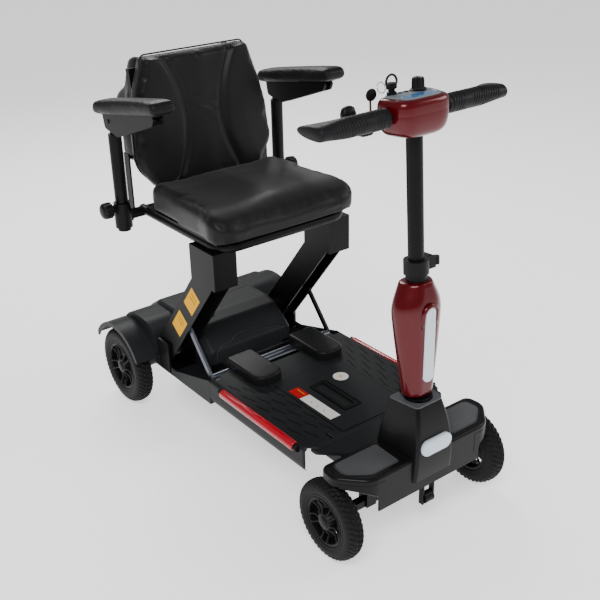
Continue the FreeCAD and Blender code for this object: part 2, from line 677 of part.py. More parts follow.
def column():
    """Steering shaft and yoke, the folding column with its red cover, and the height clamp."""
    def local(thing, height=0, across=0, forward=0):
        thing.Placement = on_column(height, across, forward)
        return thing

    def upright(name, radius, low, high):
        thing = doc.addObject("Part::Cylinder", name)
        bind(thing, Radius=radius, Height=str(high - low))
        return local(thing, low)

    def block(name, low, high):
        thing = doc.addObject("Part::Box", name)
        bind(thing, Length=str(high[0] - low[0]), Width=str(high[1] - low[1]), Height=str(high[2] - low[2]))
        thing.Placement = on_column(0).multiply(FreeCAD.Placement(V(*low), FreeCAD.Rotation()))
        return thing

    def cross_pin(name, radius, half, depth, height):
        thing = doc.addObject("Part::Cylinder", name)
        bind(thing, Radius=radius, Height=str(2 * half))
        thing.Placement = on_column(0).multiply(FreeCAD.Placement(V(-half, depth, height), TURN_TO_X))
        return thing

    offset = mm("fold_pin_offset")
    yoke = fuse("yoke_joined", upright("steering_rod", "steering_shaft_radius", -192, -6),
                upright("yoke_disc", "28", -6, -1.5),
                block("yoke_lug_left", (14, offset - 9, -3), (20, offset + 6, 10)),
                block("yoke_lug_right", (-20, offset - 9, -3), (-14, offset + 6, 10)),
                block("pitman_arm", (-9, 0, -192), (9, 44, -187)))
    keep("steering_shaft", cut("steering_shaft_shape", yoke,
                               cross_pin("yoke_bore", "4 + running_gap", 30, offset, 4)))

    base = fuse("column_joined", upright("column_tube_wall", "21", 10.5, 256),
                block("fold_knuckle", (-13.5, 5, -1), (13.5, offset, 14)),
                cross_pin("knuckle_round", "5", 13.5, offset, 4), cross_pin("fold_pin", "4", 20, offset, 4))
    keep("column_tube", cut("column_tube_shape", base,
                            upright("column_bore", "stem_radius + running_gap", 14, 300)))

    solids = []
    for inset in (0, 1):
        edge = 3 * inset
        body = new_body(f"cover_body_{inset}")
        flats = []
        for number, (height, half, front, back) in enumerate(
                ((1, 34, -24, 25.5), (90, 45, -30, 27), (186, 56, -36, 28), (215, 48, -34, 27),
                 (243, 33, -28, 26.5))):
            place = height + (0, 3, -3)[inset if number == 0 else -inset if number == 4 else 0]
            flat = new_sketch(body, "XY_Plane", f"cover_{inset}_{number}", place)
            draw(flat, [(-half + edge, 4), (-half * 0.8 + edge, back - edge),
                        (half * 0.8 - edge, back - edge),
                        (half - edge, 4), (half * 0.5 - edge / 2, front + edge),
                        (-half * 0.5 + edge / 2, front + edge)],
                 [8, 8, 8, 8, 7, 7])
            flats.append(flat)
        loft(body, flats)
        solids.append(local(body))
    lens = new_body("column_light")
    shape = draw(new_sketch(lens, "XZ_Plane", "column_light_outline"),
                 [(-13, -81), (13, -81), (13, 81), (-13, 81)], [12.9] * 4)
    pad(lens, shape, "5")
    lean = FreeCAD.Placement(V(0, -30.6, 117), FreeCAD.Rotation(V(1, 0, 0), 3.6))
    lens.Placement = on_column(0).multiply(lean)
    keep("column_light", lens)
    keep("column_cover", cut("column_cover_shape", solids[0], solids[1],
                             upright("cover_bore", "21.2", -20, 300),
                             block("cover_foot_gap", (-21, 4, -5), (21, 40, 15)), lens))
    collar = fuse("collar_joined", upright("collar_band", "24.5", 256.2, 284),
                  block("collar_ears", (20, -10, 259), (42, 10, 281)))
    keep("stem_collar", cut("stem_collar_shape", collar,
                            upright("collar_bore", "stem_radius + running_gap", 250, 300),
                            block("collar_slit", (15, -1.2, 250), (50, 1.2, 300))))
    lever = fuse("lever_joined", block("lever_blade", (43, -5, 262), (49, 40, 278)),
                 upright("lever_eye", "7", 262, 278))
    lever_eye = lever.Shapes[1]
    lever_eye.Placement = on_column(262, 49, 3)
    keep("collar_lever", cut("collar_lever_shape", lever,
                             block("lever_clear", (36, -12, 255), (42.5, 12, 285))))

    grip_height, grip_depth = 562, -4
    bar = fuse("stem_joined", upright("stem_wall", "stem_radius", 206, 545),
               block("tee_block", (-24, -22, 545), (24, 16, 582)),
               cross_pin("handlebar_tube", "11", 205, grip_depth, grip_height))
    keep("stem_and_bar", cut("stem_shape", bar, upright("stem_bore", "stem_radius - 2.5", 200, 540),
                             cross_pin("bar_bore", "9", 250, grip_depth, grip_height)))
    shells = []
    for inset in (0, 1):
        edge = 3 * inset
        body = new_body(f"console_body_{inset}")
        flats = []
        levels = ((520, 40, -24, 22), (524, 52, -32, 28), (532, 62, -38, 32), (545, 68, -41, 35),
                  (572, 70, -42, 36),
                  (585 - 2 * inset, 70, -42, 36), (590 - 3 * inset, 67, -39, 33))
        for number, (height, half, front, back) in enumerate(levels):
            flat = new_sketch(body, "XY_Plane", f"console_{inset}_{number}",
                              height + (3 if inset and not number else 0))
            draw(flat, [(-half + edge, back - edge), (half - edge, back - edge),
                        (half * 0.84 - edge, front + edge),
                        (-half * 0.84 + edge, front + edge)], [12, 12, 14, 14])
            flats.append(flat)
        loft(body, flats, ruled=True)
        shells.append(local(body))
    keep("console", cut("console_shape", shells[0], shells[1],
                        upright("console_foot", "stem_radius + 0.3", 480, 540),
                        cross_pin("console_side", "11.3", 120, grip_depth, grip_height)))
    panel = new_body("display_panel")
    plan = draw(new_sketch(panel, "XY_Plane", "panel_plan"), [(-56, 28), (56, 28), (46, -33), (-46, -33)],
                [12] * 4)
    pad(panel, plan, "1.6")
    keep("display_panel", local(panel, 590.1))
    for name, sign in (("left", 1), ("right", -1)):
        grip = new_body(f"grip_{name}")
        flats = []
        for number, (place, ahead, behind, half_high, corner) in enumerate(
                ((72, 18.5, 18.5, 18.5, 18.4), (165, 18.5, 20, 17, 16.5), (200, 18, 42, 15, 14.5),
                 (223, 17, 58, 13, 12.5))):
            flat = new_sketch(grip, "YZ_Plane", f"grip_{name}_{number}", sign * place)
            draw(flat, [(-ahead, -half_high), (behind, -half_high), (behind, half_high), (-ahead, half_high)],
                 [corner] * 4)
            flats.append(flat)
        loft(grip, flats, ruled=True)
        grip.Placement = on_column(0).multiply(FreeCAD.Placement(V(0, grip_depth, grip_height),
                                                                 FreeCAD.Rotation()))
        keep(f"grip_{name}", cut(f"grip_{name}_shape", grip,
                                 cross_pin(f"grip_bore_{name}", "11", 206, grip_depth, grip_height)))
    throttle = fuse("throttle_joined", upright("throttle_eye", "4", 556, 572),
                    block("throttle_stalk", (-130, 24, 556), (-76, 30, 572)),
                    block("throttle_pad", (-142, 20, 562), (-112, 36, 588)))
    throttle.Shapes[0].Placement = on_column(556, -76, -27)
    keep("throttle_lever", rounded("throttle_shape", throttle, 2.5, lambda e: abs(e.Length - 30) < 0.5))
    brake = fuse("brake_joined", upright("brake_eye", "3", 545, 552),
                 block("brake_stalk", (-104, 15.5, 545), (-74, 20.5, 552)),
                 block("brake_pad", (-113, 10, 533), (-83, 24, 547)))
    brake.Shapes[0].Placement = on_column(545, -74, -18)
    keep("reverse_lever", rounded("brake_shape", brake, 1.5,
                                  lambda e: abs(e.Length - 30) < 0.5 and e.CenterOfMass.z < 860))
    dial = new_body("speed_dial")
    profile = new_sketch(dial, "XY_Plane", "dial_plan")
    ring(profile, (24, 14), 11.5)
    pad(dial, profile, "24")
    round_edges(dial, 2, lambda e: e.BoundBox.ZMin > 23)
    keep("speed_dial", local(dial, 592))
    key = fuse("key_joined", upright("key_barrel", "6", 591.9, 597), upright("key_head_base", "10", 597, 612))
    for piece, height in zip(key.Shapes, (591.9, 597)):
        piece.Placement = on_column(height, -30, -24)
    loop = doc.addObject("Part::Torus", "key_loop")
    bind(loop, Radius1="10", Radius2="2")
    loop.Placement = on_column(618, -30, -24).multiply(FreeCAD.Placement(V(0, 0, 0), TURN_TO_Y))
    keep("ignition_key", fuse("ignition_key_shape", key, loop))


def seat():
    """Lift arms, folding struts, seat and backrest, all symmetric about the middle plane."""
    base = (mm("arm_pivot_place"), mm("arm_pivot_height"))
    reach = (-mm("arm_reach_back"), mm("arm_reach_up"))
    length = math.hypot(*reach)
    along = (reach[0] / length, reach[1] / length)
    across = (-along[1], along[0])
    wide = mm("arm_half_width")

    def arm_point(run, side):
        return (base[0] + along[0] * run + across[0] * side, base[1] + along[1] * run + across[1] * side)

    solid = [arm_point(-30, -wide), arm_point(-30, wide), arm_point(length + 30, wide),
             arm_point(length + 30, -wide)]
    room = [arm_point(-60, -wide + 3), arm_point(-60, wide + 40), arm_point(length + 60, wide + 40),
            arm_point(length + 60, -wide + 3)]
    arms = []
    whole = side_plate("arm_solid", solid, [26] * 4, "arm_inner", "arm_outer")
    space = side_plate("arm_space", room, [0] * 4, "arm_inner + arm_sheet", "arm_outer - arm_sheet")
    pin_place = (f"{base[0] + reach[0]}", f"{base[1] + reach[1]}")
    arm = fuse("arm_joined", cut("arm_channel", whole, space),
               rod("top_pin", "x", pin_place, "top_pin_radius", "bracket_inner", "bracket_outer"))
    arms = [arm, mirrored("arm_mirror", arm)]
    shaft = rod("base_shaft", "x", ("arm_pivot_place", "arm_pivot_height"), "base_shaft_radius", "-194",
                "194")
    keep("lift_arms", fuse("lift_arms_shape", *arms, shaft))

    foot = (mm("strut_pivot_place"), mm("strut_pivot_height"))
    rise = (mm("strut_reach_back"), mm("strut_reach_up"))
    size = math.hypot(*rise)
    unit = (rise[0] / size, rise[1] / size)
    normal = (-unit[1], unit[0])
    half = mm("strut_half_width")
    corners = [(foot[0] + unit[0] * run + normal[0] * off, foot[1] + unit[1] * run + normal[1] * off)
               for run, off in ((-half, -half), (size + half, -half), (size + half, half), (-half, half))]
    strut = side_plate("strut_bar", corners, [half - 0.1] * 4, "strut_inner", "strut_inner + strut_thick")
    turning = rod("strut_shaft", "x", ("strut_pivot_place", "strut_pivot_height"), "base_shaft_radius",
                  "-strut_inner", "strut_inner")
    keep("struts", fuse("struts_shape", strut, mirrored("strut_mirror", strut), turning))

    outer = box("bracket_block", ("bracket_inner", "bracket_front", "bracket_bottom"),
                ("bracket_outer", "bracket_rear", "seat_tube_height - 11"))
    inner = box("bracket_space", ("bracket_inner + 3", "bracket_front + 3", "bracket_bottom - 5"),
                ("bracket_outer - 3", "bracket_rear + 5", "seat_tube_height - 14"))
    bracket = cut("bracket_shape", outer, inner,
                  rod("bracket_bore", "x", pin_place, "top_pin_radius + running_gap", "120", "200"))
    keep("seat_brackets", fuse("seat_brackets_shape", bracket, mirrored("bracket_mirror", bracket)))

    frame = new_body("seat_tube")
    path = new_sketch(frame, "XY_Plane", "seat_path")
    side, front, bend = mm("seat_tube_half"), mm("seat_frame_front"), 45
    rear = mm("seat_frame_rear")
    turn = bend * math.sqrt(0.5)
    for sign in (-1, 1):
        path.addGeometry(Part.LineSegment(V(sign * side, rear, 0), V(sign * side, front + bend, 0)), False)
        path.addGeometry(Part.Arc(V(sign * side, front + bend, 0),
                                  V(sign * (side - bend + turn), front + bend - turn, 0),
                                  V(sign * (side - bend), front, 0)), False)
    path.addGeometry(Part.LineSegment(V(-side + bend, front, 0), V(side - bend, front, 0)), False)
    section = new_sketch(frame, "XZ_Plane", "seat_section", -rear)
    ring(section, (-side, 0), mm("seat_tube_radius"))
    sweep = frame.newObject("PartDesign::AdditivePipe", "seat_pipe")
    sweep.Profile = section
    sweep.Spine = (path, [])
    doc.recompute()
    put_at(frame, ("0", "0", "seat_tube_height"))
    pan = box("seat_pan", ("-178", "0", "seat_tube_height + 9"), ("178", "296", "cushion_bottom - 1"))
    cross = rod("rear_cross", "x", ("seat_frame_rear - 6", "seat_tube_height - 4"), "12", "-205", "205")
    plates = [box("back_plate", (low, "back_hinge_place - 11", "seat_tube_height - 10"),
                  (high, "back_hinge_place + 11", "back_hinge_height + 11"))
              for low, high in (("-194", "-190"), ("190", "194"))]
    hinge_bore = rod("back_bore", "x", ("back_hinge_place", "back_hinge_height"), "4 + running_gap", "-200",
                     "200")
    keep("seat_frame", cut("seat_frame_shape", fuse("seat_joined", frame, pan, cross, *plates), hinge_bore))

    cushion = new_body("seat_cushion")
    c_front, c_rear, c_half = mm("cushion_front"), mm("cushion_rear"), mm("cushion_half")
    pad(cushion, draw(new_sketch(cushion, "XY_Plane", "cushion_plan"),
                      [(-c_half, c_front), (c_half, c_front), (c_half - 14, c_rear), (-c_half + 14, c_rear)],
                      [44, 44, 30, 30]), "cushion_top - cushion_bottom")
    round_edges(cushion, 18, lambda e: e.BoundBox.ZMin > 50)
    put_at(cushion, ("0", "0", "cushion_bottom"))
    keep("seat_cushion", cushion)

    lean = FreeCAD.Rotation(V(1, 0, 0), -mm("back_recline"))

    def on_back(thing):
        put_at(thing, ("0", "back_hinge_place", "back_hinge_height"), lean)
        return thing

    def back_box(name, low, high):
        thing = doc.addObject("Part::Box", name)
        bind(thing, Length=str(high[0] - low[0]), Width=str(high[1] - low[1]), Height=str(high[2] - low[2]))
        place = V(0, mm("back_hinge_place"), mm("back_hinge_height")) + lean.multVec(V(*low))
        thing.Placement = FreeCAD.Placement(place, lean)
        return thing

    padding = new_body("backrest_cushion")
    pad(padding, draw(new_sketch(padding, "XZ_Plane", "back_outline"),
                      [(-140, -74), (140, -74), (188, -20), (182, 60), (136, 224), (-136, 224), (-182, 60),
                       (-188, -20)],
                      [30, 30, 60, 90, 14, 14, 90, 60]), "38")
    round_edges(padding, 14, lambda e: e.BoundBox.YMax < -37.5)
    on_back(padding)
    for axis, text in zip("yz", ("back_hinge_place - 8", "back_hinge_height")):
        padding.setExpression(f"Placement.Base.{axis}", formula(text))
    keep("backrest_cushion", padding)
    uprights = [back_box("back_upright", (low, -5, -8), (low + 8, 9, 196)) for low in (-158, 150)]
    bars = [back_box("back_bar", (-150, -5, height), (150, 5, height + 20)) for height in (20, 176)]
    pins = rod("back_pins", "x", ("back_hinge_place", "back_hinge_height"), "4", "-194", "194")
    gap = rod("back_pin_gap", "x", ("back_hinge_place", "back_hinge_height"), "5", "-150", "150")
    keep("backrest_frame", fuse("backrest_frame_shape", *uprights, *bars, cut("back_pins_cut", pins, gap)))
    shell = new_body("backrest_pocket")
    pad(shell, draw(new_sketch(shell, "YZ_Plane", "pocket_side"),
                    [(10, 0), (10, 224), (40, 214), (78, 150), (112, 128), (116, -8), (96, -30), (40, -24)],
                    [4, 12, 30, 30, 20, 20, 14, 20]), "290", both_ways=True)
    round_edges(shell, 14, lambda e: abs(abs(e.CenterOfMass.x) - 145) < 0.5)
    keep("backrest_pocket", on_back(shell))


def armrests():
    """Height-adjustable armrest posts, their sleeves and clamp knobs, and the flip-up armrests."""
    centre = ("post_middle", "post_place")
    knob_height = "548"
    sleeve = fuse("sleeve_joined", rod("sleeve_tube", "z", centre, "post_radius + 5", "500", "560"),
                  box("sleeve_arm", ("205", "post_place - 12", "seat_tube_height - 16"),
                      ("post_middle", "post_place + 12", "seat_tube_height + 8")),
                  rod("knob_boss", "x", ("post_place", knob_height), "9", "post_middle + 12",
                      "post_middle + 24"))
    bore = rod("sleeve_bore", "z", centre, "post_radius + running_gap", "480", "580")
    screw_way = rod("knob_bore", "x", ("post_place", knob_height), "4 + running_gap", "post_middle + 5",
                    "post_middle + 40")
    left = cut("sleeve_shape", sleeve, bore, screw_way)
    keep("armrest_sleeves", fuse("armrest_sleeves_shape", left, mirrored("sleeve_mirror", left)))
    post = fuse("post_joined", rod("post_tube", "z", centre, "post_radius", "post_bottom", "post_top - 10"),
                box("post_ear", ("post_middle - 6", "post_place - 10", "post_top - 22"),
                    ("post_middle + 6", "post_place + 10", "armrest_pivot_height + 8")))
    keep_pair("armrest_post", cut("armrest_post_shape", post,
                                  rod("ear_bore", "x", ("post_place", "armrest_pivot_height"),
                                      "5 + running_gap", "200", "250"),
                                  rod("post_hollow", "z", centre, "post_radius - 2.5", "480",
                                      "post_top - 24")))
    knob = fuse("knob_joined", rod("knob_screw", "x", ("post_place", knob_height), "4",
                                   "post_middle + 15.2", "252"),
                rod("knob_head", "x", ("post_place", knob_height), "19", "252", "279"))
    keep_pair("clamp_knob", rounded("clamp_knob_shape", knob, 3, lambda e: abs(e.CenterOfMass.x - 279) < 1))

    slope = math.tan(math.radians(mm("armrest_rise")))
    pivot = (mm("post_place"), mm("armrest_pivot_height"))

    def line(place, height):
        return pivot[1] + height + (pivot[0] - place) * slope

    plates = [side_plate("armrest_cheek", [(pivot[0] + 24, line(pivot[0] + 24, 14)), (114, line(114, 14)),
                                           (124, line(124, -6)), (pivot[0] - 40, pivot[1] - 28),
                                           (pivot[0] + 18, pivot[1] - 18)], [4, 6, 6, 16, 10], low, high)
              for low, high in (("post_middle - 13", "post_middle - 6.5"),
                                ("post_middle + 6.5", "post_middle + 13"))]
    deck_plate = side_plate("armrest_top", [(pivot[0] + 24, line(pivot[0] + 24, 14)), (114, line(114, 14)),
                                            (114, line(114, 18)), (pivot[0] + 24, line(pivot[0] + 24, 18))],
                                            [0] * 4,
                            "post_middle - 14", "post_middle + 14")
    pin = rod("armrest_pin", "x", ("post_place", "armrest_pivot_height"), "5", "post_middle - 13",
              "post_middle + 15")
    keep_pair("armrest_bracket", fuse("armrest_bracket_shape", *plates, deck_plate, pin))
    cushion = side_plate("armrest_pad_solid",
                         [(pivot[0] + 43, line(pivot[0] + 43, 18.3)), (92, line(92, 18.3)),
                                               (92, line(92, 46)), (pivot[0] + 43, line(pivot[0] + 43, 46))],
                         [10, 10, 14, 14], "post_middle - 28", "post_middle + 28")
    keep_pair("armrest_pad", rounded("armrest_pad_shape", cushion, 9,
                                     lambda e: e.BoundBox.XLength < 0.01 and e.Length > 5))


chassis()
deck()
battery()
rear()
wheels()
front_knuckle()
front_cover()
column()
seat()
armrests()
doc.recompute()

for thing in doc.Objects:
    if "Invalid" in thing.State or "Error" in thing.State:
        raise RuntimeError(f"{thing.Name} failed: {thing.State}")
for label, thing in kept.items():
    shape = thing.Shape
    if shape.isNull() or not shape.isValid():
        raise RuntimeError(f"{label} has no valid shape")
    shape.exportStep(f"parts/{label}.step")
    print(f"{label:20s} {len(shape.Solids)} solids {shape.Volume / 1000:9.1f} cm3")
print(len(kept), "sub-parts")
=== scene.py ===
import math

import bmesh
import bpy
import numpy as np
from mathutils import Matrix, Vector
from mathutils.bvhtree import BVHTree


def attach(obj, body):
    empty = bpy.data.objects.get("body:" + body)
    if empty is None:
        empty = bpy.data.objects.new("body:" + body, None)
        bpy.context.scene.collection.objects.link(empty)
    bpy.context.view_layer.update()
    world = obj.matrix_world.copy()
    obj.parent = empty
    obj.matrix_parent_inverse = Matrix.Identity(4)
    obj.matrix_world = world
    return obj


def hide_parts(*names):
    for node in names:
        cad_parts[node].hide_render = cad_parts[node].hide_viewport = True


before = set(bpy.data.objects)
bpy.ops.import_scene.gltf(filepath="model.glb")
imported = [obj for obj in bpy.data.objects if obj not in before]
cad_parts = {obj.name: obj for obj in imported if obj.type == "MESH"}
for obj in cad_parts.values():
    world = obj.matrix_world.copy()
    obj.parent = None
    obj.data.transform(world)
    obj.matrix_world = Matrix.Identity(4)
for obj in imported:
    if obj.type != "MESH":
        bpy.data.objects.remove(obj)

# Looks of a folding mobility scooter. Metres, in the frame of the CAD model:
# +Z up, driving towards -Y, +X is the rider's left-hand side.

scene = bpy.context.scene
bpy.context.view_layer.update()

# ---------------------------------------------------------------- materials


def surface(name, colour, rough, grain=400, depth=0.0002, mottle=0.25, spread=0.08, **sockets):
    """A moulded, painted or rubbed surface: fine grain, soft colour variation and uneven gloss."""
    material = bpy.data.materials.new(name)
    material.use_nodes = True
    tree = material.node_tree
    shader = tree.nodes["Principled BSDF"]
    place = tree.nodes.new("ShaderNodeTexCoord")
    broad = tree.nodes.new("ShaderNodeTexNoise")
    broad.inputs["Scale"].default_value = 9
    broad.inputs["Detail"].default_value = 5
    fine = tree.nodes.new("ShaderNodeTexNoise")
    fine.inputs["Scale"].default_value = grain
    fine.inputs["Detail"].default_value = 3
    for item in (broad, fine):
        tree.links.new(place.outputs["Object"], item.inputs["Vector"])
    tone = tree.nodes.new("ShaderNodeMix")
    tone.data_type = "RGBA"
    low = [c * (1 - mottle) for c in colour]
    high = [min(1, c * (1 + mottle)) for c in colour]
    tone.inputs["A"].default_value = (*low, 1)
    tone.inputs["B"].default_value = (*high, 1)
    tree.links.new(broad.outputs["Fac"], tone.inputs["Factor"])
    tree.links.new(tone.outputs["Result"], shader.inputs["Base Color"])
    gloss = tree.nodes.new("ShaderNodeMapRange")
    gloss.inputs["To Min"].default_value = max(0.02, rough - spread)
    gloss.inputs["To Max"].default_value = min(1, rough + spread)
    tree.links.new(broad.outputs["Fac"], gloss.inputs["Value"])
    tree.links.new(gloss.outputs["Result"], shader.inputs["Roughness"])
    bump = tree.nodes.new("ShaderNodeBump")
    bump.inputs["Distance"].default_value = depth
    bump.inputs["Strength"].default_value = 0.6
    tree.links.new(fine.outputs["Fac"], bump.inputs["Height"])
    tree.links.new(bump.outputs["Normal"], shader.inputs["Normal"])
    shader.inputs["Specular IOR Level"].default_value = 0.13
    for socket, value in sockets.items():
        shader.inputs[socket.replace("_", " ")].default_value = value
    return material


def grained(name, colour, rough, cells, depth, **sockets):
    """Leatherette or rubber: a cell grain."""
    material = surface(name, colour, rough, depth=depth, **sockets)
    tree = material.node_tree
    cell = tree.nodes.new("ShaderNodeTexVoronoi")
    cell.inputs["Scale"].default_value = cells
    place = next(n for n in tree.nodes if n.type == "TEX_COORD")
    tree.links.new(place.outputs["Object"], cell.inputs["Vector"])
    bump = next(n for n in tree.nodes if n.type == "BUMP")
    tree.links.new(cell.outputs["Distance"], bump.inputs["Height"])
    return material


def woven(name, colour, rough, threads, depth, **sockets):
    """A plain weave made of two crossing sets of threads."""
    material = surface(name, colour, rough, depth=depth, **sockets)
    tree = material.node_tree
    place = next(n for n in tree.nodes if n.type == "TEX_COORD")
    waves = []
    for direction in ("X", "Z"):
        wave = tree.nodes.new("ShaderNodeTexWave")
        wave.bands_direction = direction
        wave.inputs["Scale"].default_value = threads
        wave.inputs["Distortion"].default_value = 0.6
        tree.links.new(place.outputs["Object"], wave.inputs["Vector"])
        waves.append(wave)
    joined = tree.nodes.new("ShaderNodeMath")
    joined.operation = "MAXIMUM"
    for number, wave in enumerate(waves):
        tree.links.new(wave.outputs["Fac"], joined.inputs[number])
    bump = next(n for n in tree.nodes if n.type == "BUMP")
    tree.links.new(joined.outputs["Value"], bump.inputs["Height"])
    return material


BLACK_PAINT = surface("black_powder_coat", (0.004, 0.004, 0.0043), 0.4, grain=900, depth=0.0001)
BLACK_PLASTIC = surface("black_plastic", (0.0065, 0.0065, 0.007), 0.40, grain=700, depth=0.0001)
DECK = surface("floor_plastic", (0.014, 0.0148, 0.016), 0.46, grain=520, depth=0.00025)
POD = surface("shaft_cover_plastic", (0.011, 0.0112, 0.012), 0.34, grain=600, depth=0.0001)
CHARCOAL = surface("charcoal_plastic", (0.017, 0.018, 0.0195), 0.46, grain=560, depth=0.0002)
PAD_GRAIN = surface("foot_pad_plastic", (0.07, 0.072, 0.076), 0.55, grain=420, depth=0.0011, mottle=0.35)
# light grey satin: the pedestal ring's own plastic, and a painted highlight where it rims the foot pads and
# lines the rear cover's wave groove
GREY_TRIM_AND_HIGHLIGHT = surface("grey_plastic_and_painted_highlight", (0.075, 0.078, 0.085), 0.33, grain=500, depth=0.0001)
RED = surface("candy_red", (0.085, 0.0002, 0.003), 0.30, grain=1500, depth=0.00003, mottle=0.15, spread=0.04,
              Metallic=0.3, Coat_Weight=0.45, Coat_Roughness=0.03)
RED_LENS = surface("red_reflector", (0.42, 0.002, 0.014), 0.2, grain=900, depth=0.0002, spread=0.05,
                   Coat_Weight=0.8, Coat_Roughness=0.08)
LENS = surface("frosted_lens", (0.58, 0.66, 0.73), 0.3, grain=260, depth=0.0002, mottle=0.05,
               Coat_Weight=0.7, Coat_Roughness=0.1, Emission_Strength=0.12)
LENS.node_tree.nodes["Principled BSDF"].inputs["Emission Color"].default_value = (0.75, 0.85, 1, 1)
LEATHER = grained("black_leatherette", (0.0075, 0.0075, 0.008), 0.38, 480, 0.00018, Sheen_Weight=0.1)
PAD_SKIN = grained("armrest_skin", (0.0085, 0.0085, 0.0085), 0.44, 380, 0.00018)
RUBBER = grained("grip_rubber", (0.0085, 0.0085, 0.0095), 0.46, 520, 0.00025)
TYRE = grained("tyre_rubber", (0.008, 0.008, 0.008), 0.6, 300, 0.00035)
WEAVE = woven("pocket_weave", (0.008, 0.008, 0.0085), 0.8, 420, 0.0005, Sheen_Weight=0.25)
THREAD = surface("stitch_thread", (0.02, 0.02, 0.022), 0.7, grain=1500, depth=0.0001)
SCREEN = surface("panel_overlay", (0.05, 0.17, 0.36), 0.18, grain=700, depth=0.00002, mottle=0.35,
                 Coat_Weight=0.8, Coat_Roughness=0.06)
SATIN = surface("front_cover_plastic", (0.0065, 0.0065, 0.007), 0.30, grain=900, depth=0.00005)
PANEL_GREY = surface("panel_grey", (0.16, 0.18, 0.2), 0.3, grain=700, depth=0.00005)
STRUT_STEEL = surface("plated_steel", (0.13, 0.14, 0.165), 0.32, grain=900, depth=0.00005, Metallic=0.9)
STRUT_BLACK = surface("black_strut", (0.008, 0.008, 0.009), 0.34, grain=900, depth=0.00005, Metallic=0.3)
STEEL = surface("bright_steel", (0.5, 0.5, 0.5), 0.25, grain=900, depth=0.00005, Metallic=1.0)
CAST = surface("cast_housing", (0.03, 0.03, 0.032), 0.5, grain=420, depth=0.0005, Metallic=0.5)
YELLOW = surface("yellow_card", (0.84, 0.41, 0.0), 0.55, grain=500, depth=0.00004, mottle=0.06)
DARK_INK = surface("dark_ink", (0.09, 0.06, 0.01), 0.5, grain=500, depth=0.00004)
WHITE_CARD = surface("white_card", (0.70, 0.69, 0.66), 0.4, grain=500, depth=0.00004, mottle=0.05)
RED_CARD = surface("red_card", (0.40, 0.001, 0.004), 0.4, grain=500, depth=0.00004, mottle=0.06)
GROOVE = surface("groove_shadow", (0.0015, 0.0015, 0.002), 0.6, grain=600, depth=0.0001)

# ---------------------------------------------------------------- building helpers


def add(name, verts, faces, material, body, smooth=True):
    mesh = bpy.data.meshes.new(name)
    mesh.from_pydata([tuple(v) for v in verts], [], faces)
    mesh.validate()
    piece = bpy.data.objects.new(name, mesh)
    scene.collection.objects.link(piece)
    finish_mesh(piece, smooth)
    piece.data.materials.append(material)
    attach(piece, body)
    return piece


def finish_mesh(piece, smooth=True, sharp=None):
    """Outward normals and shading."""
    build = bmesh.new()
    build.from_mesh(piece.data)
    bmesh.ops.recalc_face_normals(build, faces=build.faces)
    for face in build.faces:
        face.smooth = smooth
    build.to_mesh(piece.data)
    build.free()
    if sharp is not None:
        piece.data.set_sharp_from_angle(angle=math.radians(sharp))


def soften(piece, levels=2):
    """Apply a subdivision surface."""
    bpy.context.view_layer.update()
    modifier = piece.modifiers.new("soften", "SUBSURF")
    modifier.levels = modifier.render_levels = levels
    result = bpy.data.meshes.new_from_object(piece.evaluated_get(bpy.context.evaluated_depsgraph_get()))
    piece.modifiers.clear()
    piece.data = result
    return piece


def angles(count):
    """Evenly spaced angles once round a circle."""
    return [math.tau * n / count for n in range(count)]


def tube_faces(rows, count, close_rows=False, caps=True):
    """Faces between rows of points, each row a closed ring with the same count of points."""
    faces = []
    last = rows if close_rows else rows - 1
    for row in range(last):
        following = (row + 1) % rows
        for n in range(count):
            m = (n + 1) % count
            faces.append((row * count + n, row * count + m, following * count + m, following * count + n))
    if caps and not close_rows:
        faces.append(tuple(range(count)))
        faces.append(tuple(range((rows - 1) * count, rows * count)))
    return faces


def loft(name, rings, material, body, levels=0, caps=True):
    """A skin over rings that all have the same number of points."""
    count = len(rings[0])
    verts = [point for ring in rings for point in ring]
    piece = add(name, verts, tube_faces(len(rings), count, caps=caps), material, body)
    if levels:
        soften(piece, levels)
    return piece


def follow(name, path, radius, material, body, sides=10, flat=1.0, closed=False):
    """A round or flattened bar that follows a line of points."""
    path = [Vector(p) for p in path]
    count = len(path)
    rings = []
    for n, point in enumerate(path):
        before = path[n - 1] if n or closed else point
        after = path[(n + 1) % count] if n < count - 1 or closed else point
        along = (after - before).normalized()
        side = along.cross(Vector((0, 0, 1)))
        if side.length < 0.05:
            side = along.cross(Vector((1, 0, 0)))
        side.normalize()
        up = side.cross(along).normalized()
        rings.append([point + side * (radius * math.cos(t)) + up * (radius * flat * math.sin(t))
                      for t in angles(sides)])
    verts = [p for ring in rings for p in ring]
    return add(name, verts, tube_faces(count, sides, close_rows=closed), material, body)


RAKE = math.radians(3.67)
COLUMN = Matrix(((1, 0, 0, 0), (0, math.cos(RAKE), math.sin(RAKE), -0.4306),
                 (0, -math.sin(RAKE), math.cos(RAKE), 0.314), (0, 0, 0, 1)))


def on_column(x, y, z):
    """A point given in millimetres of the steering column's own raked frame."""
    return COLUMN @ Vector((x / 1000, y / 1000, z / 1000))


def paint(material, *nodes):
    for node in nodes:
        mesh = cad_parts[node].data
        mesh.materials.clear()
        mesh.materials.append(material)
        mesh.set_sharp_from_angle(angle=math.radians(35))


def bell(value, width):
    return math.exp(-(value / width) ** 2)


def power(value, exponent):
    return math.copysign(abs(value) ** exponent, value)


def squircle(half_x, half_y, exponent, count):
    """Points round a superellipse, counter-clockwise."""
    return [(half_x * power(math.cos(t), 2 / exponent), half_y * power(math.sin(t), 2 / exponent))
            for t in (math.tau * (n + 0.5) / count for n in range(count))]


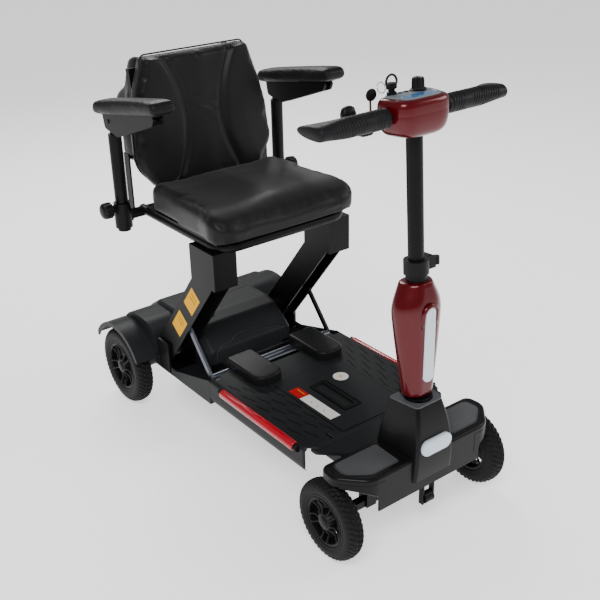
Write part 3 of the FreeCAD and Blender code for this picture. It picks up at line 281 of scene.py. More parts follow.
def rounded_outline(points, radii, steps=10):
    """A closed line through rounded corners."""
    line = []
    count = len(points)
    for n in range(count):
        here, before, after = Vector(points[n]), Vector(points[n - 1]), Vector(points[(n + 1) % count])
        a, b = (before - here).normalized(), (after - here).normalized()
        half = a.angle(b) / 2
        back = radii[n] / math.tan(half)
        centre = here + (a + b).normalized() * (radii[n] / math.sin(half))
        start, end = here + a * back - centre, here + b * back - centre
        for k in range(steps + 1):
            mixed = start.lerp(end, k / steps).normalized() * radii[n]
            line.append(centre + mixed)
    return line


# ---------------------------------------------------------------- carried-over CAD nodes

paint(BLACK_PAINT, "chassis_frame", "knuckle_left", "knuckle_right", "tie_rod", "steering_shaft",
      "column_tube",
      "stem_and_bar", "lift_arms", "seat_brackets", "seat_frame", "backrest_frame", "armrest_sleeves",
      "armrest_post_left", "armrest_post_right", "armrest_bracket_left", "armrest_bracket_right")
paint(DECK, "deck_panel", "battery_lid", "battery_case", "rear_tray")
paint(CHARCOAL, "rear_cover", "fenders")
paint(GREY_TRIM_AND_HIGHLIGHT, "pedestal_ring")
paint(SATIN, "front_cover")
paint(BLACK_PLASTIC, "battery_handle", "stem_collar", "collar_lever", "throttle_lever",
      "reverse_lever", "speed_dial", "ignition_key", "clamp_knob_left", "clamp_knob_right",
      "motor_controller",
      "front_roller", "rear_rim_left", "rear_rim_right", "front_rim_left", "front_rim_right")
paint(POD, "shaft_covers")
paint(PAD_GRAIN, "foot_pads")
paint(RED_LENS, "side_strips")
paint(LENS, "headlight_lens", "column_light")
paint(RED, "column_cover", "console")
paint(RUBBER, "grip_left", "grip_right")
paint(TYRE, "rear_tyre_left", "rear_tyre_right", "front_tyre_left", "front_tyre_right")
paint(SCREEN, "display_panel")
paint(STRUT_STEEL, "struts")
strut_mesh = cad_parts["struts"].data
strut_mesh.materials.append(STRUT_BLACK)
for polygon in strut_mesh.polygons:
    polygon.material_index = 1 if strut_mesh.vertices[polygon.vertices[0]].co.x > 0 else 0
paint(CAST, "drive_unit")
paint(LEATHER, "seat_cushion", "backrest_cushion")
paint(PAD_SKIN, "armrest_pad_left", "armrest_pad_right")
paint(WEAVE, "backrest_pocket")

# ---------------------------------------------------------------- wheels


SIDES = (("left", 1), ("right", -1))
BEAD = 0.61  # bead radius as a share of the tyre's radius
HUB_SIZE = 0.0165  # where the spokes start
GROOVE_DEPTH = 0.028  # tread depth as a share of the tyre's radius

# end of the vehicle, then the wheel's middle, axle place, radius and width, and the steps round its tread
WHEELS = (("rear", 0.222, 0.394, 0.100, 0.044, 240), ("front", 0.202, -0.402, 0.087, 0.040, 216))


def tyre(end, side, middle, axle, radius, width, steps):
    """A tyre with a rounded crown, sidewall rings and zigzag tread blocks."""
    half = width / 2
    bead = BEAD * radius
    # across the tyre from -1 to 1, and height from the bead to the crown
    section = [(-0.80, 0.0), (-0.93, 0.06), (-0.97, 0.18), (-0.93, 0.22), (-0.97, 0.26), (-1.0, 0.42),
               (-0.985, 0.58),
               (-0.93, 0.66), (-0.95, 0.71), (-0.86, 0.82), (-0.72, 0.90), (-0.55, 0.95), (-0.38, 0.98),
               (-0.20, 0.995),
               (-0.07, 1.0)]
    section += [(-u, v) for u, v in reversed(section)]
    verts = []
    for step, angle in enumerate(angles(steps)):
        block = step % 5
        for across, height in section:
            size = bead + (radius - bead) * height
            shift = int(abs(across) * 6 + (0 if across > 0 else 2)) % 5
            cut = height > 0.70 and (block + shift) % 5 in (0, 1)
            middle_groove = abs(abs(across) - 0.38) < 0.06 or abs(across) < 0.08
            if cut or (middle_groove and block % 3 == 0):
                size -= GROOVE_DEPTH * radius
            verts.append((middle + across * half, axle + size * math.cos(angle),
                          radius + size * math.sin(angle)))
    faces = tube_faces(steps, len(section), close_rows=True)
    piece = add(f"{end}_tread_{side}", verts, faces, TYRE, f"{end}_wheel_{side}")
    finish_mesh(piece, True, 28)
    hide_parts(f"{end}_tyre_{side}")


def hub_detail(end, side, sign, middle, axle, radius, width):
    """A hub cap, a bead ring and five double spokes on the outer face of a rim."""
    body = f"{end}_wheel_{side}"
    face = middle + sign * (width / 2 - 0.001)
    profile = [(0.0006, 0.0035), (0.008, 0.0032), (0.013, 0.0015), (0.015, -0.001), (0.015, -0.004)]
    verts, count = [], 40
    for size, out in profile:
        for t in angles(count):
            verts.append((face + sign * out, axle + size * math.cos(t), radius + size * math.sin(t)))
    add(f"{end}_cap_{side}", verts, tube_faces(len(profile), count), BLACK_PLASTIC, body)
    ring_size = BEAD * radius - 0.0035
    path = [(face - sign * 0.0025, axle + ring_size * math.cos(t), radius + ring_size * math.sin(t))
            for t in angles(90)]
    follow(f"{end}_bead_ring_{side}", path, 0.0022, BLACK_PLASTIC, body, sides=8, closed=True)
    for number in range(10):
        middle_angle = math.radians(126 + 72 * (number // 2))
        lean = 1 if number % 2 else -1
        line = []
        for share in (0.0, 0.3, 0.6, 0.85, 1.0):
            reach = HUB_SIZE + (ring_size - 0.003 - HUB_SIZE) * share
            angle = middle_angle + lean * (0.30 - 0.10 * share)
            dish = 0.0050 - 0.0035 * abs(2 * share - 1) + 0.0035 * math.sin(math.pi * share)
            line.append((face - sign * dish, axle + reach * math.cos(angle),
                         radius + reach * math.sin(angle)))
        follow(f"{end}_spoke_{side}_{number}", line, 0.0026, BLACK_PLASTIC, body, sides=10)


for side, sign in SIDES:
    for end, middle, axle, radius, width, steps in WHEELS:
        tyre(end, side, sign * middle, axle, radius, width, steps)
for side, sign in SIDES:
    for end, middle, axle, radius, width, steps in WHEELS:
        hub_detail(end, side, sign, sign * middle, axle, radius, width)

# ---------------------------------------------------------------- steering column


def cover_ring(height, half, front, back):
    """One level of the red cover: a flat front facet, two bevelled cheeks and a rounder back."""
    outline = [(0.46 * half, front), (0.80 * half, front * 0.62), (half, front * 0.12), (half, back * 0.35),
               (0.86 * half, back * 0.80), (0.5 * half, back), (0, back)]
    outline += [(-x, y) for x, y in reversed(outline[:-1])]
    outline += [(-0.2 * half, front), (0.2 * half, front)]
    return [on_column(x, y, height) for x, y in outline]


# height up the column, half width, front and back of each level, in millimetres
levels = [(1.5, 27, -18, 21), (3, 32, -22, 24), (12, 35, -24, 25.5), (60, 41, -28, 26.5),
          (120, 49, -32.5, 27.5),
          (172, 55, -36, 28), (186, 56, -36.5, 28), (200, 54, -36.5, 28), (215, 48, -34, 27.5),
          (232, 38, -30, 27),
          (242, 33.5, -28, 26.2), (243.5, 28, -24, 25)]
cover = loft("column_shell", [cover_ring(*level) for level in levels], RED, "column", levels=3)
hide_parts("column_cover")


def light_bar(name, half, tall, proud, centre, tilt, material, body):
    """A domed stadium-shaped lens. centre is its middle, tilt turns it about X from facing -Y."""
    turn = Matrix.Translation(centre) @ Matrix.Rotation(tilt, 4, "X")
    rings = []
    count = 48
    for scale, out in ((1.0, -0.003), (1.0, 0.55 * proud), (0.93, 0.85 * proud), (0.75, proud),
                       (0.35, 1.06 * proud)):
        inset = (1 - scale) * half
        ring = []
        for n in range(count):
            t = math.tau * (n + 0.5) / count
            x = half * math.cos(t)
            z = half * math.sin(t) + math.copysign(tall - half, math.sin(t))
            ring.append(turn @ Vector((x * (1 - inset / half), -out, z * (1 - inset / tall))))
        rings.append(ring)
    return loft(name, rings, material, body)


front_tilt = math.radians(3.6) - RAKE
light_centre = on_column(0, -30.6, 117)
bar = light_bar("column_light_lens", 0.0125, 0.081, 0.0065, light_centre, front_tilt, LENS, "column")
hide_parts("column_light")

# a red lip round the top of the column light, which stands out more towards its crown
lip, leg, crown = 0.0168, 0.0170, 0.0665
arch = [(leg, z) for z in (0.040, 0.050, 0.058)]
arch += [(lip * math.cos(t), crown + lip * math.sin(t)) for t in (math.pi * n / 32 for n in range(33))]
arch += [(-leg, z) for z in (0.058, 0.050, 0.040)]
turn = Matrix.Translation(light_centre) @ Matrix.Rotation(front_tilt, 4, "X")
follow("light_arch", [turn @ Vector((x, 0.0015 - 0.0045 * max(0, (z - 0.04) / 0.045), z)) for x, z in arch],
       0.0050, RED, "column", sides=12)

# ---------------------------------------------------------------- console


def console_ring(height, half, front, back):
    """One level of the console, a rounded box that is narrower at the front."""
    middle, deep = (front + back) / 2, (back - front) / 2
    ring = []
    for x, y in squircle(half, deep, 4.2, 36):
        share = (y + deep) / (2 * deep)
        ring.append(on_column(x * (0.84 + 0.16 * share), middle + y, height))
    return ring


levels = [(520.5, 26, -20, 20), (521, 38, -24, 22), (524, 51, -32, 28), (530, 60, -37, 31.5),
          (538, 65.5, -39.5, 34),
          (550, 68.5, -41.2, 35.4), (562, 70, -41.8, 36), (564, 69.2, -41.2, 35.4), (566, 70, -41.8, 36),
          (578, 70, -42, 36),
          (585, 68.5, -41, 35), (590, 63.5, -37, 31), (591, 55, -30, 26)]
shell = loft("console_shell", [console_ring(*level) for level in levels], RED, "handlebar",
             levels=1)
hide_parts("console")


def plate(name, outline, low, high, material, body, place, bevel=0.0):
    """A flat plate with a softened rim. outline is in millimetres; place turns (x, y, z) into a point."""
    rings = [[place(x, y, low) for x, y in outline]]
    cx = sum(x for x, y in outline) / len(outline)
    cy = sum(y for x, y in outline) / len(outline)
    rings.append([place(x, y, high - bevel) for x, y in outline])
    if bevel:
        rings.append([place(cx + (x - cx) * 0.985, cy + (y - cy) * 0.985, high) for x, y in outline])
    piece = loft(name, rings, material, body)
    finish_mesh(piece, True, 40)
    return piece


def panel_outline(half, front, back):
    """A plan like the console's, for the panel and its window."""
    middle, deep = (front + back) / 2, (back - front) / 2
    return [(x * (0.8 + 0.2 * (y + deep) / (2 * deep)), middle + y) for x, y in squircle(half, deep, 4.5, 48)]


face = plate("panel_face", panel_outline(55, -32, 27.5), 589.5, 593, PANEL_GREY, "handlebar",
             on_column, 0.8)
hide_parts("display_panel")
plate("panel_window", panel_outline(44, -27, -5), 592.9, 593.6, SCREEN, "handlebar", on_column, 0.3)
for number, x in enumerate((-40, -14, 0, 44)):
    button = [(x + 4.6 * math.cos(t), 20 + 3.6 * math.sin(t)) for t in angles(28)]
    plate(f"panel_button_{number}", button, 592.5, 594.2, BLACK_PLASTIC, "handlebar",
          on_column, 0.5)

# speed dial: a fluted knob on a skirt
rings = []
for height, size, flute in ((592, 15, 0), (595, 15, 0), (596, 12.2, 0), (598, 11.2, 0.5), (612, 10.6, 0.6),
                            (615, 10, 0.4), (616, 8, 0)):
    ring = []
    for t in angles(108):
        reach = size + flute * math.cos(18 * t)
        ring.append(on_column(24 + reach * math.cos(t), 14 + reach * math.sin(t), height))
    rings.append(ring)
dial = loft("dial_knob", rings, BLACK_PLASTIC, "dial")
finish_mesh(dial, True, 45)
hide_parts("speed_dial")
mark = [(23.2, 5.2), (24.8, 5.2), (24.8, 12), (23.2, 12)]
plate("dial_mark", mark, 615.8, 616.4, WHITE_CARD, "dial", on_column)

# key: a round barrel with a flat head and a loop, and beside it a ring with a spare key
KEY_X, KEY_Y = -30, 24
HEAD_HALF_THICK = 6.5
rings = []
for height, size in ((591.9, 9), (597, 9), (598, 6), (602, 6), (603, 11.5), (611, 12), (613, 9)):
    thick = HEAD_HALF_THICK if size > 9 else size
    rings.append([on_column(KEY_X + size * math.cos(t), KEY_Y + thick * math.sin(t),
                            height) for t in angles(40)])
key = loft("key_head", rings, BLACK_PLASTIC, "key")
finish_mesh(key, True, 40)
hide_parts("ignition_key")
loop = []
for n in range(27):
    t = math.pi * (-0.08 + 1.16 * n / 26)
    loop.append(on_column(KEY_X + 12.5 * math.cos(t), KEY_Y, 614 + 13 * math.sin(t)))
follow("key_loop", loop, 0.0021, BLACK_PLASTIC, "key")
ring = [on_column(-46 + 9 * math.cos(t), 33 + 3 * math.sin(t), 606 + 9 * math.sin(t)) for t in angles(32)]
follow("key_ring", ring, 0.0008, STEEL, "handlebar", sides=8, closed=True)
rings = []
for height, size in ((-1.6, 9), (0, 11), (1.6, 9)):
    rings.append([on_column(-65 + 1.15 * size * math.cos(t), 38 + height, 596 + size * math.sin(t))
                  for t in angles(32)])
loft("spare_key_head", rings, BLACK_PLASTIC, "handlebar")
blade = [(-2.2, 0), (2.2, 0), (2.2, -20), (0.8, -23), (-2.2, -21)]
rings = [[on_column(-68 + x, 38 + y, 588 + z) for x, z in blade] for y in (-0.9, 0.9)]
finish_mesh(loft("spare_key_blade", rings, STEEL, "handlebar"), False)

# ---------------------------------------------------------------- grips

# Each grip is round near the console and flares rearwards into a flat paddle. It has two sets of rounded ribs
# and, above and below, a smooth window with a groove round it.
GRIP_START, GRIP_END = 72, 223
for side, sign in SIDES:
    rings = []
    for n in range(201):
        place = GRIP_START + (GRIP_END - GRIP_START) * n / 200
        share = max(0.0, (place - 150) / (GRIP_END - 150))
        flare = share * share * (3 - 2 * share)
        ahead, behind, high = 18.3 - 1.3 * flare, 18.3 + 39 * flare, 18.2 - 5.0 * flare
        closing = max(0.0, (place - 218) / 5)
        shrink = 1 - 0.20 * closing * closing
        collar = 1.2 * bell(place - 76, 3.0)
        ring = []
        for t in angles(56):
            wave = place + 3.0 * math.sin(2 * t + 0.6)
            window = abs(math.sin(t)) > 0.55
            groove = collar
            if 84 < place < 104 or (128 < place < 200 and not (window and place < 158)):
                groove = 1.4 * max(0, math.cos(math.tau * wave / 6.5)) ** 3
            if window and 107 < place < 156:
                edge = min(place - 107, 156 - place)
                groove = 1.5 if edge < 3 else 0.2
            deep = behind if math.cos(t) > 0 else ahead
            ring.append(on_column(sign * place, -4 + (deep - groove) * shrink * math.cos(t),
                                  562 + (high - groove) * shrink * math.sin(t)))
        rings.append(ring)
    grip = loft(f"grip_rubber_{side}", rings, RUBBER, "handlebar")
    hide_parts(f"grip_{side}")

# ---------------------------------------------------------------- thumb lever and lower lever, on the right


def lump(name, centre, size, body):
    """A rounded finger pad in the column's own frame, a little narrower towards its top."""
    rings = []
    for level in (-1, -0.92, -0.7, 0, 0.7, 0.92, 1):
        scale = (1 - abs(level) ** 5) ** 0.4 if abs(level) < 1 else 0.25
        wide = scale * (1 if level < 0 else 0.8 + 0.2 * (1 - level))
        rings.append([on_column(centre[0] + size[0] * wide * x, centre[1] + size[1] * wide * y,
                                centre[2] + size[2] * level) for x, y in squircle(1, 1, 3.2, 28)])
    return loft(name, rings, BLACK_PLASTIC, body)


pad = lump("throttle_pad", (-127, 28, 576), (15, 8.5, 13), "throttle")
follow("throttle_arm", [on_column(-76, 27, 562), on_column(-100, 27, 562), on_column(-115, 27.5, 565),
                        on_column(-124, 28, 571)], 0.0042,
       BLACK_PLASTIC, "throttle")
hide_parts("throttle_lever")
pad = lump("reverse_pad", (-98, 17, 540), (15, 7, 7), "reverse")
follow("reverse_arm", [on_column(-75, 18, 548), on_column(-84, 18, 547), on_column(-96, 17, 543)], 0.0042,
       BLACK_PLASTIC, "reverse")
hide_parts("reverse_lever")

# ---------------------------------------------------------------- headlight on the pedestal

lamp = light_bar("headlight_dome", 0.0168, 0.0400, 0.0072, (0, -0.4856, 0.222), 0.0, LENS, "chassis")
for vertex in lamp.data.vertices:  # turn the upright lens to lie level
    x, z = vertex.co.x, vertex.co.z - 0.222
    vertex.co.x, vertex.co.z = z, 0.222 + x
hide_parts("headlight_lens")

# ---------------------------------------------------------------- padded pieces


PRESSURE = 4.0
GROWTH = 0.022  # how much larger than the pad its cover is cut


def stuffed(node, name, material, body, voxel, limit, sag=None):
    """Blow up the CAD solid a little with a cloth simulation, so that it crowns and its sides pull in.
    limit caps how far a point may move, and sag moves each point afterwards."""
    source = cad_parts[node]
    build = bmesh.new()
    build.from_mesh(source.data)
    bmesh.ops.remove_doubles(build, verts=build.verts, dist=1e-5)
    mesh = bpy.data.meshes.new(name)
    build.to_mesh(mesh)
    build.free()
    piece = bpy.data.objects.new(name, mesh)
    scene.collection.objects.link(piece)
    grid = piece.modifiers.new("grid", "REMESH")
    grid.mode = "VOXEL"
    grid.voxel_size = voxel
    bpy.context.view_layer.update()
    piece.data = bpy.data.meshes.new_from_object(piece.evaluated_get(bpy.context.evaluated_depsgraph_get()))
    piece.modifiers.clear()
    before = np.array([v.co for v in piece.data.vertices])
    cloth = piece.modifiers.new("cloth", "CLOTH")
    cloth.settings.quality = 4
    cloth.settings.use_pressure = True
    cloth.settings.uniform_pressure_force = PRESSURE
    cloth.settings.shrink_min = -GROWTH
    cloth.settings.effector_weights.gravity = 0
    cloth.settings.tension_stiffness = 12
    cloth.settings.compression_stiffness = 12
    cloth.settings.bending_stiffness = 0.4
    cloth.collision_settings.use_collision = False
    for number in range(1, 21):
        scene.frame_set(number)
    moved = bpy.data.meshes.new_from_object(piece.evaluated_get(bpy.context.evaluated_depsgraph_get()))
    piece.modifiers.clear()
    piece.data = moved
    scene.frame_set(1)
    after = np.array([v.co for v in moved.vertices])
    shift = after - before
    length = np.linalg.norm(shift, axis=1, keepdims=True)
    shift *= np.minimum(1, limit / np.maximum(length, 1e-9))
    for vertex, place in zip(moved.vertices, before + shift):
        vertex.co = place
    if sag:
        for vertex in piece.data.vertices:
            vertex.co = sag(vertex.co.copy())
    soften(piece, 1)
    finish_mesh(piece)
    piece.data.materials.clear()
    piece.data.materials.append(material)
    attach(piece, body)
    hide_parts(node)
    return piece


def shape_seat(p):
    """The waterfall front with its dip in the middle, a shallow dish for each thigh and a flat underside."""
    low, high = 0.5455, 0.605
    share = max(0.0, min(1.0, (p.z - low) / (high - low)))
    ahead = max(0.0, min(1.0, (0.055 - p.y) / 0.085))
    drop = ahead * ahead * (0.023 + 0.012 * bell(p.x, 0.075))
    p.x *= 1 + 0.04 * ahead
    dish = 0.007 * bell(abs(p.x) - 0.085, 0.07) * bell(p.y - 0.15, 0.13)
    rear = 0.005 * max(0.0, (p.y - 0.2) / 0.09)
    p.z -= share * (drop + dish + rear)
    p.z = max(p.z, low + 0.0002)
    p.z = min(p.z, 0.611)
    p.y = min(p.y, 0.2862)
    return p


LEAN = Matrix.Translation((0, 0.333, 0.655)) @ Matrix.Rotation(math.radians(-6.5), 4, "X")
UNLEAN = LEAN.inverted()


def seam_place(height):
    """Distance of each hourglass seam from the middle, at a height above the back's own origin."""
    share = (height - 0.075) / 0.150
    return 0.047 + 0.047 * share * share


def shape_back(p):
    """Crown the face, pull it in along the two curved seams and add the soft creases between them."""
    q = UNLEAN @ p
    face = max(0.0, min(1.0, (-q.y - 0.012) / 0.02))
    inside = 1.0 if -0.066 < q.z < 0.215 else 0.0
    gap = abs(q.x) - seam_place(q.z)
    q.y += face * inside * (0.010 * bell(gap, 0.0075) - 0.0045 * bell(gap - 0.042,
                                                                      0.045) - 0.003 * bell(q.x, 0.03))
    crease = bell(q.x - 0.006, 0.024) * bell(q.z - 0.085, 0.03)
    q.y += face * 0.0022 * crease * math.sin((q.z + 0.45 * q.x) * 210)
    q.x += math.copysign(0.010, q.x) * bell(q.z - 0.135, 0.075) * min(1.0, abs(q.x) / 0.12) ** 3
    q.z -= 0.006 * bell(q.z + 0.075, 0.03)
    q.y = min(q.y, -0.0006)
    q.y = max(q.y, -0.046)
    return LEAN @ q


stuffed("seat_cushion", "seat_padding", LEATHER, "seat", voxel=0.006, limit=0.005,
        sag=shape_seat)
stuffed("backrest_cushion", "back_padding", LEATHER, "backrest", voxel=0.005, limit=0.004,
        sag=shape_back)
for side, sign in SIDES:
    stuffed(f"armrest_pad_{side}", f"armrest_padding_{side}", PAD_SKIN, f"armrest_{side}",
            voxel=0.005,
            limit=0.003)
stuffed("backrest_pocket", "back_pocket_bag", WEAVE, "backrest", voxel=0.007, limit=0.009)

# edge piping and the two curved seams of the back cushion
outline = [(-0.140, -0.074), (0.140, -0.074), (0.188, -0.020), (0.182, 0.060), (0.136, 0.224),
           (-0.136, 0.224),
           (-0.182, 0.060), (-0.188, -0.020)]
edge_line = rounded_outline(outline, [0.030, 0.030, 0.060, 0.090, 0.014, 0.014, 0.090, 0.060])
piping = [LEAN @ Vector((p.x * 1.003, -0.0195, p.y * 1.003)) for p in edge_line]
follow("back_piping", piping, 0.0019, LEATHER, "backrest", closed=True)
for sign in (-1, 1):
    path = []
    for n in range(60):
        height = -0.062 + 0.272 * n / 59
        path.append(LEAN @ Vector((sign * seam_place(height), -0.0345, height)))
    follow(f"back_seam_{'left' if sign > 0 else 'right'}", path, 0.0011, THREAD, "backrest",
           sides=6)

# ---------------------------------------------------------------- floor details

# heights just above the floor panel, the battery lid and a printed card on the lid
FLOOR_TOP = 0.1981
LID_TOP = 0.1991
ON_LABEL = 0.1995


def ribbon(name, path, width, height, material, body):
    """A thin strip that lies on a surface along a path of points, as a groove or a printed line."""
    verts, count = [], len(path)
    for n, point in enumerate(path):
        here = Vector(point)
        along = (Vector(path[min(n + 1, count - 1)]) - Vector(path[max(n - 1, 0)])).normalized()
        side = along.cross(Vector((0, 0, 1))).normalized() * width / 2
        up = side.cross(along).normalized()
        if up.z < 0:
            up.negate()
        verts += [here - side, here + side, here + side + up * height, here - side + up * height]
    faces = [(0, 1, 2, 3), tuple((count - 1) * 4 + k for k in (3, 2, 1, 0))]
    for n in range(count - 1):
        for k in range(4):
            m = (k + 1) % 4
            faces.append((n * 4 + k, n * 4 + m, n * 4 + 4 + m, n * 4 + 4 + k))
    return add(name, verts, faces, material, body, smooth=False)


def wavy(x, y, length, turn):
    """A dash along the direction of travel with a soft kink in its middle."""
    shares = [n / 12 for n in range(13)]
    return [(x + turn * 0.0032 * math.tanh((t - 0.5) * 6), y + length * t, FLOOR_TOP) for t in shares]


for sign in (-1, 1):
    for column in range(4):
        for row in range(5):
            x = sign * (0.106 + 0.021 * column)
            y = -0.292 + 0.056 * row + 0.028 * (column % 2)
            ribbon(f"floor_dash_{'l' if sign > 0 else 'r'}_{column}_{row}", wavy(x, y, 0.040, sign), 0.0021,
                   0.0003, GROOVE, "chassis")
lid_corners = [(-0.0925, -0.309), (0.0925, -0.309), (0.0925, -0.064), (-0.0925, -0.064)]
lid = [(p.x, p.y, FLOOR_TOP) for p in rounded_outline(lid_corners, [0.006] * 4, 5)]
ribbon("lid_gap", lid + [lid[0]], 0.0016, 0.0002, GROOVE, "chassis")


def card(name, corners, material, body, height=0.0004):
    """A printed card or sticker with the given corner points."""
    base = [Vector(c) for c in corners]
    normal = (base[1] - base[0]).cross(base[2] - base[1]).normalized() * height
    count = len(base)
    verts = base + [p + normal for p in base]
    faces = [tuple(range(count)), tuple(range(count, 2 * count))]
    faces += [(n, (n + 1) % count, count + (n + 1) % count, count + n) for n in range(count)]
    return add(name, verts, faces, material, body, smooth=False)


def flat_card(name, x0, x1, y0, y1, z, material):
    """A level card on the battery lid."""
    card(name, [(x0, y0, z), (x1, y0, z), (x1, y1, z), (x0, y1, z)], material, "battery")


def spot_card(name, x, y, z, size, corners, material, start=0.0):
    """A level round or cornered spot on the battery lid. start is the angle of its first corner."""
    spot = [(x + size * math.cos(start + t), y + size * math.sin(start + t), z) for t in angles(corners)]
    card(name, spot, material, "battery")


flat_card("label_white", -0.084, -0.056, -0.258, -0.151, LID_TOP, WHITE_CARD)
flat_card("label_red", -0.084, -0.056, -0.151, -0.110, LID_TOP, RED_CARD)
for number, y in enumerate((-0.178, -0.200, -0.222)):
    spot_card(f"label_spot_{number}", -0.072, y, ON_LABEL, 0.0024, 3, DARK_INK)
flat_card("label_line", -0.0645, -0.0635, -0.145, -0.118, ON_LABEL, YELLOW)
spot_card("round_sticker", 0.048, -0.134, LID_TOP, 0.018, 40, WHITE_CARD)
spot_card("round_sticker_mark", 0.048, -0.134, ON_LABEL, 0.006, 3, YELLOW, math.pi / 2)

# round red strips along the sides, and their end caps
for side, sign in SIDES:
    rings = []
    for y, size in ((-0.2765, 0.0088), (-0.2755, 0.0102), (-0.2745, 0.0105), (-0.0105, 0.0105),
                    (-0.0095, 0.0102), (-0.0085, 0.0088)):
        rings.append([(sign * (0.1930 + size * math.cos(t)), y, 0.1885 + size * math.sin(t))
                      for t in angles(28)])
    strip = loft(f"side_strip_{side}", rings, RED_LENS, "chassis")
    finish_mesh(strip, True, 40)
    if side == "left":
        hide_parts("side_strips")
for side, sign in SIDES:
    for number, y in enumerate((-0.281, -0.004)):
        rings = []
        for step, size in ((-0.006, 0.006), (-0.005, 0.0088), (0.005, 0.0088), (0.006, 0.006)):
            rings.append([(sign * (0.1922 + size * max(0, math.cos(t))), y + step, 0.188 + size * math.sin(t))
                          for t in (math.pi * (n / 14 - 0.5) for n in range(15))])
        loft(f"strip_cap_{side}_{number}", rings, BLACK_PLASTIC, "chassis")

# yellow cards on the outer face of the right-hand arm, with generic bars
arm_low, arm_high = Vector((0, 0.250, 0.196)), Vector((0, 0.056, 0.440))
along = (arm_high - arm_low).normalized()
across = Vector((0, -along.z, along.y))


def arm_card(name, run, tall, wide, material, lift=0.0):
    """A card on the arm, run metres up from its low pivot. lift stands it off the card below."""
    corners = []
    for u, v in ((-0.5, -0.5), (-0.5, 0.5), (0.5, 0.5), (0.5, -0.5)):
        p = arm_low + along * (run + u * tall) + across * (v * wide)
        corners.append((-0.1846 - lift, p.y, p.z))
    card(name, corners, material, "lift", -0.0004)


for number, run in enumerate((0.222, 0.120)):
    arm_card(f"arm_card_{number}", run, 0.064, 0.040, YELLOW)
    for bar_number in range(2):
        arm_card(f"arm_card_bar_{number}_{bar_number}", run + 0.006 + 0.012 * bar_number, 0.0016, 0.024,
                 DARK_INK, 0.0003)

# ---------------------------------------------------------------- apron and painted highlight rims of the front cover

# The apron closes the front of each wheel arch with a curved lower edge, and stands just off the cover.
plan = rounded_outline([(-0.207, -0.374), (-0.212, -0.420), (-0.160, -0.476), (0.160, -0.476),
                        (0.212, -0.420),
                        (0.207, -0.374)], [0.020, 0.036, 0.044, 0.044, 0.036, 0.020], 12)
APRON_START, APRON_TOP, APRON_BOTTOM, APRON_RISE = 0.125, 0.186, 0.1195, 0.0555
for side, sign in SIDES:
    line = [p for p in plan if sign * p.x > APRON_START and p.y < -0.392]
    line.append(Vector((sign * APRON_START, -0.476)))
    line.sort(key=lambda p: abs(p.x) if p.y < -0.425 else 0.3 + p.y)
    rings = []
    for p in line:
        reach = max(0.0, min(1.0, (abs(p.x) - 0.104) / 0.100))
        bottom = APRON_BOTTOM + APRON_RISE * (0.5 - 0.5 * math.cos(math.pi * reach ** 0.55))
        inner = p * (1 - 0.0026 / p.length)
        p = p * (1 + 0.0006 / p.length)
        rings.append([(p.x, p.y, APRON_TOP), (p.x, p.y, bottom + 0.001), (p.x * 0.998, p.y * 0.998, bottom),
                      (inner.x, inner.y, bottom), (inner.x, inner.y, APRON_TOP)])
    apron = loft(f"front_apron_{side}", rings, SATIN, "chassis")
    finish_mesh(apron, True, 40)
    # a thin light grey tube round each foot pad: a painted highlight along its bevelled edge
    pad_highlight_line = rounded_outline([(sign * 0.0725, -0.3885), (sign * 0.0745, -0.4597), (sign * 0.1465, -0.4597),
                                (sign * 0.1895, -0.4245), (sign * 0.1855, -0.3885)],
                                [0.005, 0.005, 0.030, 0.024, 0.012])
    follow(f"foot_pad_highlight_rim_{side}", [(p.x, p.y, 0.2002) for p in pad_highlight_line], 0.0009, GREY_TRIM_AND_HIGHLIGHT, "chassis",
           closed=True)

# ---------------------------------------------------------------- panel lines on the rear cover, with a painted highlight line

cover_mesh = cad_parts["rear_cover"]
cover_points = [cover_mesh.matrix_world @ vertex.co for vertex in cover_mesh.data.vertices]
cover_tree = BVHTree.FromPolygons(cover_points, [tuple(p.vertices) for p in cover_mesh.data.polygons])


def drape(line, steps=12):
    """Points of a plan line laid on top of the rear cover."""
    path = []
    for (x0, y0), (x1, y1) in zip(line, line[1:]):
        for k in range(steps):
            share = k / steps
            spot = Vector((x0 + (x1 - x0) * share, y0 + (y1 - y0) * share, 1.0))
            hit = cover_tree.ray_cast(spot, Vector((0, 0, -1)))[0]
            if hit is not None:
                path.append(hit + Vector((0, 0, 0.0001)))
    return path


half_wave = [(0.035, 0.172), (0.055, 0.163), (0.085, 0.160), (0.110, 0.150), (0.128, 0.125), (0.135, 0.085)]
wave_line = [(-x, y) for x, y in reversed(half_wave)] + half_wave
# a copy of the wave line, a little ahead of it, carries a thin light grey ribbon: a painted highlight on the
# groove's lip
wave_highlight = [(x * 0.975, y - 0.0024) for x, y in wave_line]
rear_line = [(-0.150, 0.300), (-0.120, 0.318), (0.120, 0.318), (0.150, 0.300)]
ribbon("cover_wave_line", drape(wave_line), 0.0022, 0.0002, GROOVE, "chassis")
ribbon("cover_wave_highlight", drape(wave_highlight), 0.0010, 0.0003, GREY_TRIM_AND_HIGHLIGHT, "chassis")
ribbon("cover_rear_line", drape(rear_line), 0.0018, 0.0002, GROOVE, "chassis")

# ---------------------------------------------------------------- cover plug and arm bolts


def button_head(name, centre, axis, size, material, body):
    """A domed screw head that stands out along an axis."""
    axis = Vector(axis).normalized()
    side = axis.orthogonal().normalized()
    other = axis.cross(side)
    rings = []
    for out, share in ((-0.2, 1.0), (0.12, 1.0), (0.36, 0.86), (0.5, 0.6), (0.42, 0.42), (0.26, 0.38),
                       (0.26, 0.05)):
        middle = Vector(centre) + axis * (out * size)
        rings.append([middle + (side * math.cos(t) + other * math.sin(t)) * (share * size) for t in angles(28)])
    finish_mesh(loft(name, rings, material, body), True, 50)


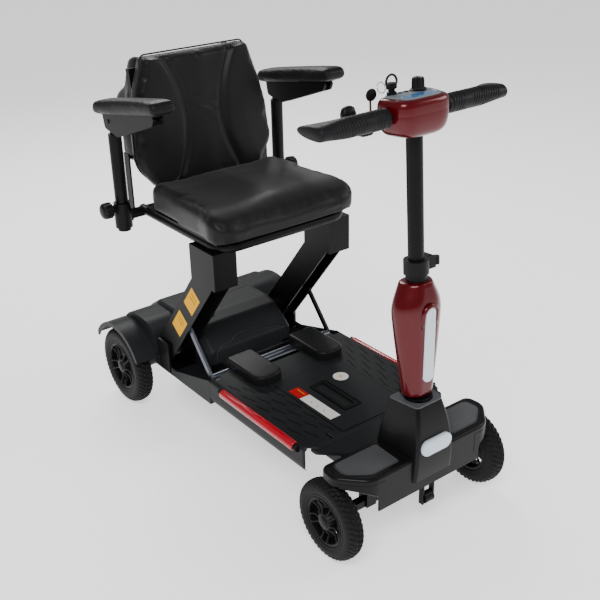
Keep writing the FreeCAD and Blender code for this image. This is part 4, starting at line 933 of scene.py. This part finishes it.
plug = drape([(-0.060, 0.245), (-0.060, 0.246)], 1)
button_head("cover_plug", plug[0], (0, 0, 1), 0.0125, CHARCOAL, "chassis")
for side, sign in SIDES:
    for number, run in enumerate((0.150, 0.215)):
        p = arm_low + along * run
        button_head(f"arm_bolt_{side}_{number}", (sign * 0.1648, p.y, p.z), (-sign, 0, 0), 0.0042, STEEL,
                    "lift")

# ---------------------------------------------------------------- clamp knobs

for side, sign in SIDES:
    rings = []
    for out, size, ridge in ((0.250, 8, 0), (0.253, 14, 0), (0.255, 18, 1.0), (0.268, 18, 1.2),
                             (0.274, 17, 1.0),
                             (0.277, 14, 0), (0.2785, 6, 0)):
        ring = []
        for t in angles(96):
            r = (size + ridge * math.cos(12 * t)) / 1000
            ring.append((sign * out, 0.325 + r * math.cos(t), 0.548 + r * math.sin(t)))
        rings.append(ring)
    knob = loft(f"clamp_grip_{side}", rings, BLACK_PLASTIC, f"knob_{side}")
    finish_mesh(knob, True, 50)
    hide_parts(f"clamp_knob_{side}")

# ---------------------------------------------------------------- stage, lights, camera

PALE = surface("pale_floor", (0.93, 0.93, 0.93), 0.9, grain=120, depth=0.00005, mottle=0.01,
               Emission_Strength=0.9)
PALE.node_tree.nodes["Principled BSDF"].inputs["Emission Color"].default_value = (1, 1, 1, 1)
floor_mesh = bpy.data.meshes.new("floor")
reach = 30
floor_mesh.from_pydata([(-reach, -reach, 0), (reach, -reach, 0), (reach, reach, 0), (-reach, reach, 0)], [],
                       [(0, 1, 2, 3)])
floor = bpy.data.objects.new("floor", floor_mesh)
scene.collection.objects.link(floor)
floor.data.materials.append(PALE)

world = bpy.data.worlds.new("studio")
scene.world = world
world.use_nodes = True
world.node_tree.nodes["Background"].inputs["Color"].default_value = (1, 1, 1, 1)
world.node_tree.nodes["Background"].inputs["Strength"].default_value = 0.3


def lamp_at(name, place, target, size, watts):
    """A rectangular soft box at a place, facing a target."""
    light = bpy.data.lights.new(name, "AREA")
    light.shape = "RECTANGLE"
    light.size, light.size_y = size
    light.energy = watts
    item = bpy.data.objects.new(name, light)
    scene.collection.objects.link(item)
    item.location = place
    item.rotation_euler = (Vector(target) - Vector(place)).to_track_quat("-Z", "Y").to_euler()


lamp_at("key_light", (-1.6, -1.6, 2.6), (0, 0, 0.4), (1.6, 1.1), 70)
lamp_at("fill_light", (2.2, -1.4, 1.7), (0, 0, 0.4), (1.4, 1.0), 26)
lamp_at("back_light", (0.6, 2.2, 2.2), (0, 0, 0.5), (2.0, 0.8), 55)

turn, dip, roll = -0.6475, 0.4536, -0.0238
back = Vector((math.sin(turn) * math.cos(dip), -math.cos(turn) * math.cos(dip), math.sin(dip)))
right = Vector((math.cos(turn), math.sin(turn), 0))
up = back.cross(right)
right_rolled = math.cos(roll) * right + math.sin(roll) * up
up_rolled = -math.sin(roll) * right + math.cos(roll) * up
camera_data = bpy.data.cameras.new("camera")
camera_data.lens = 57.47
camera_data.sensor_width = 36
camera = bpy.data.objects.new("camera", camera_data)
scene.collection.objects.link(camera)
pose = Matrix((right_rolled, up_rolled, back)).transposed().to_4x4()
pose.translation = (-1.163, -1.588, 1.317)
camera.matrix_world = pose
scene.camera = camera
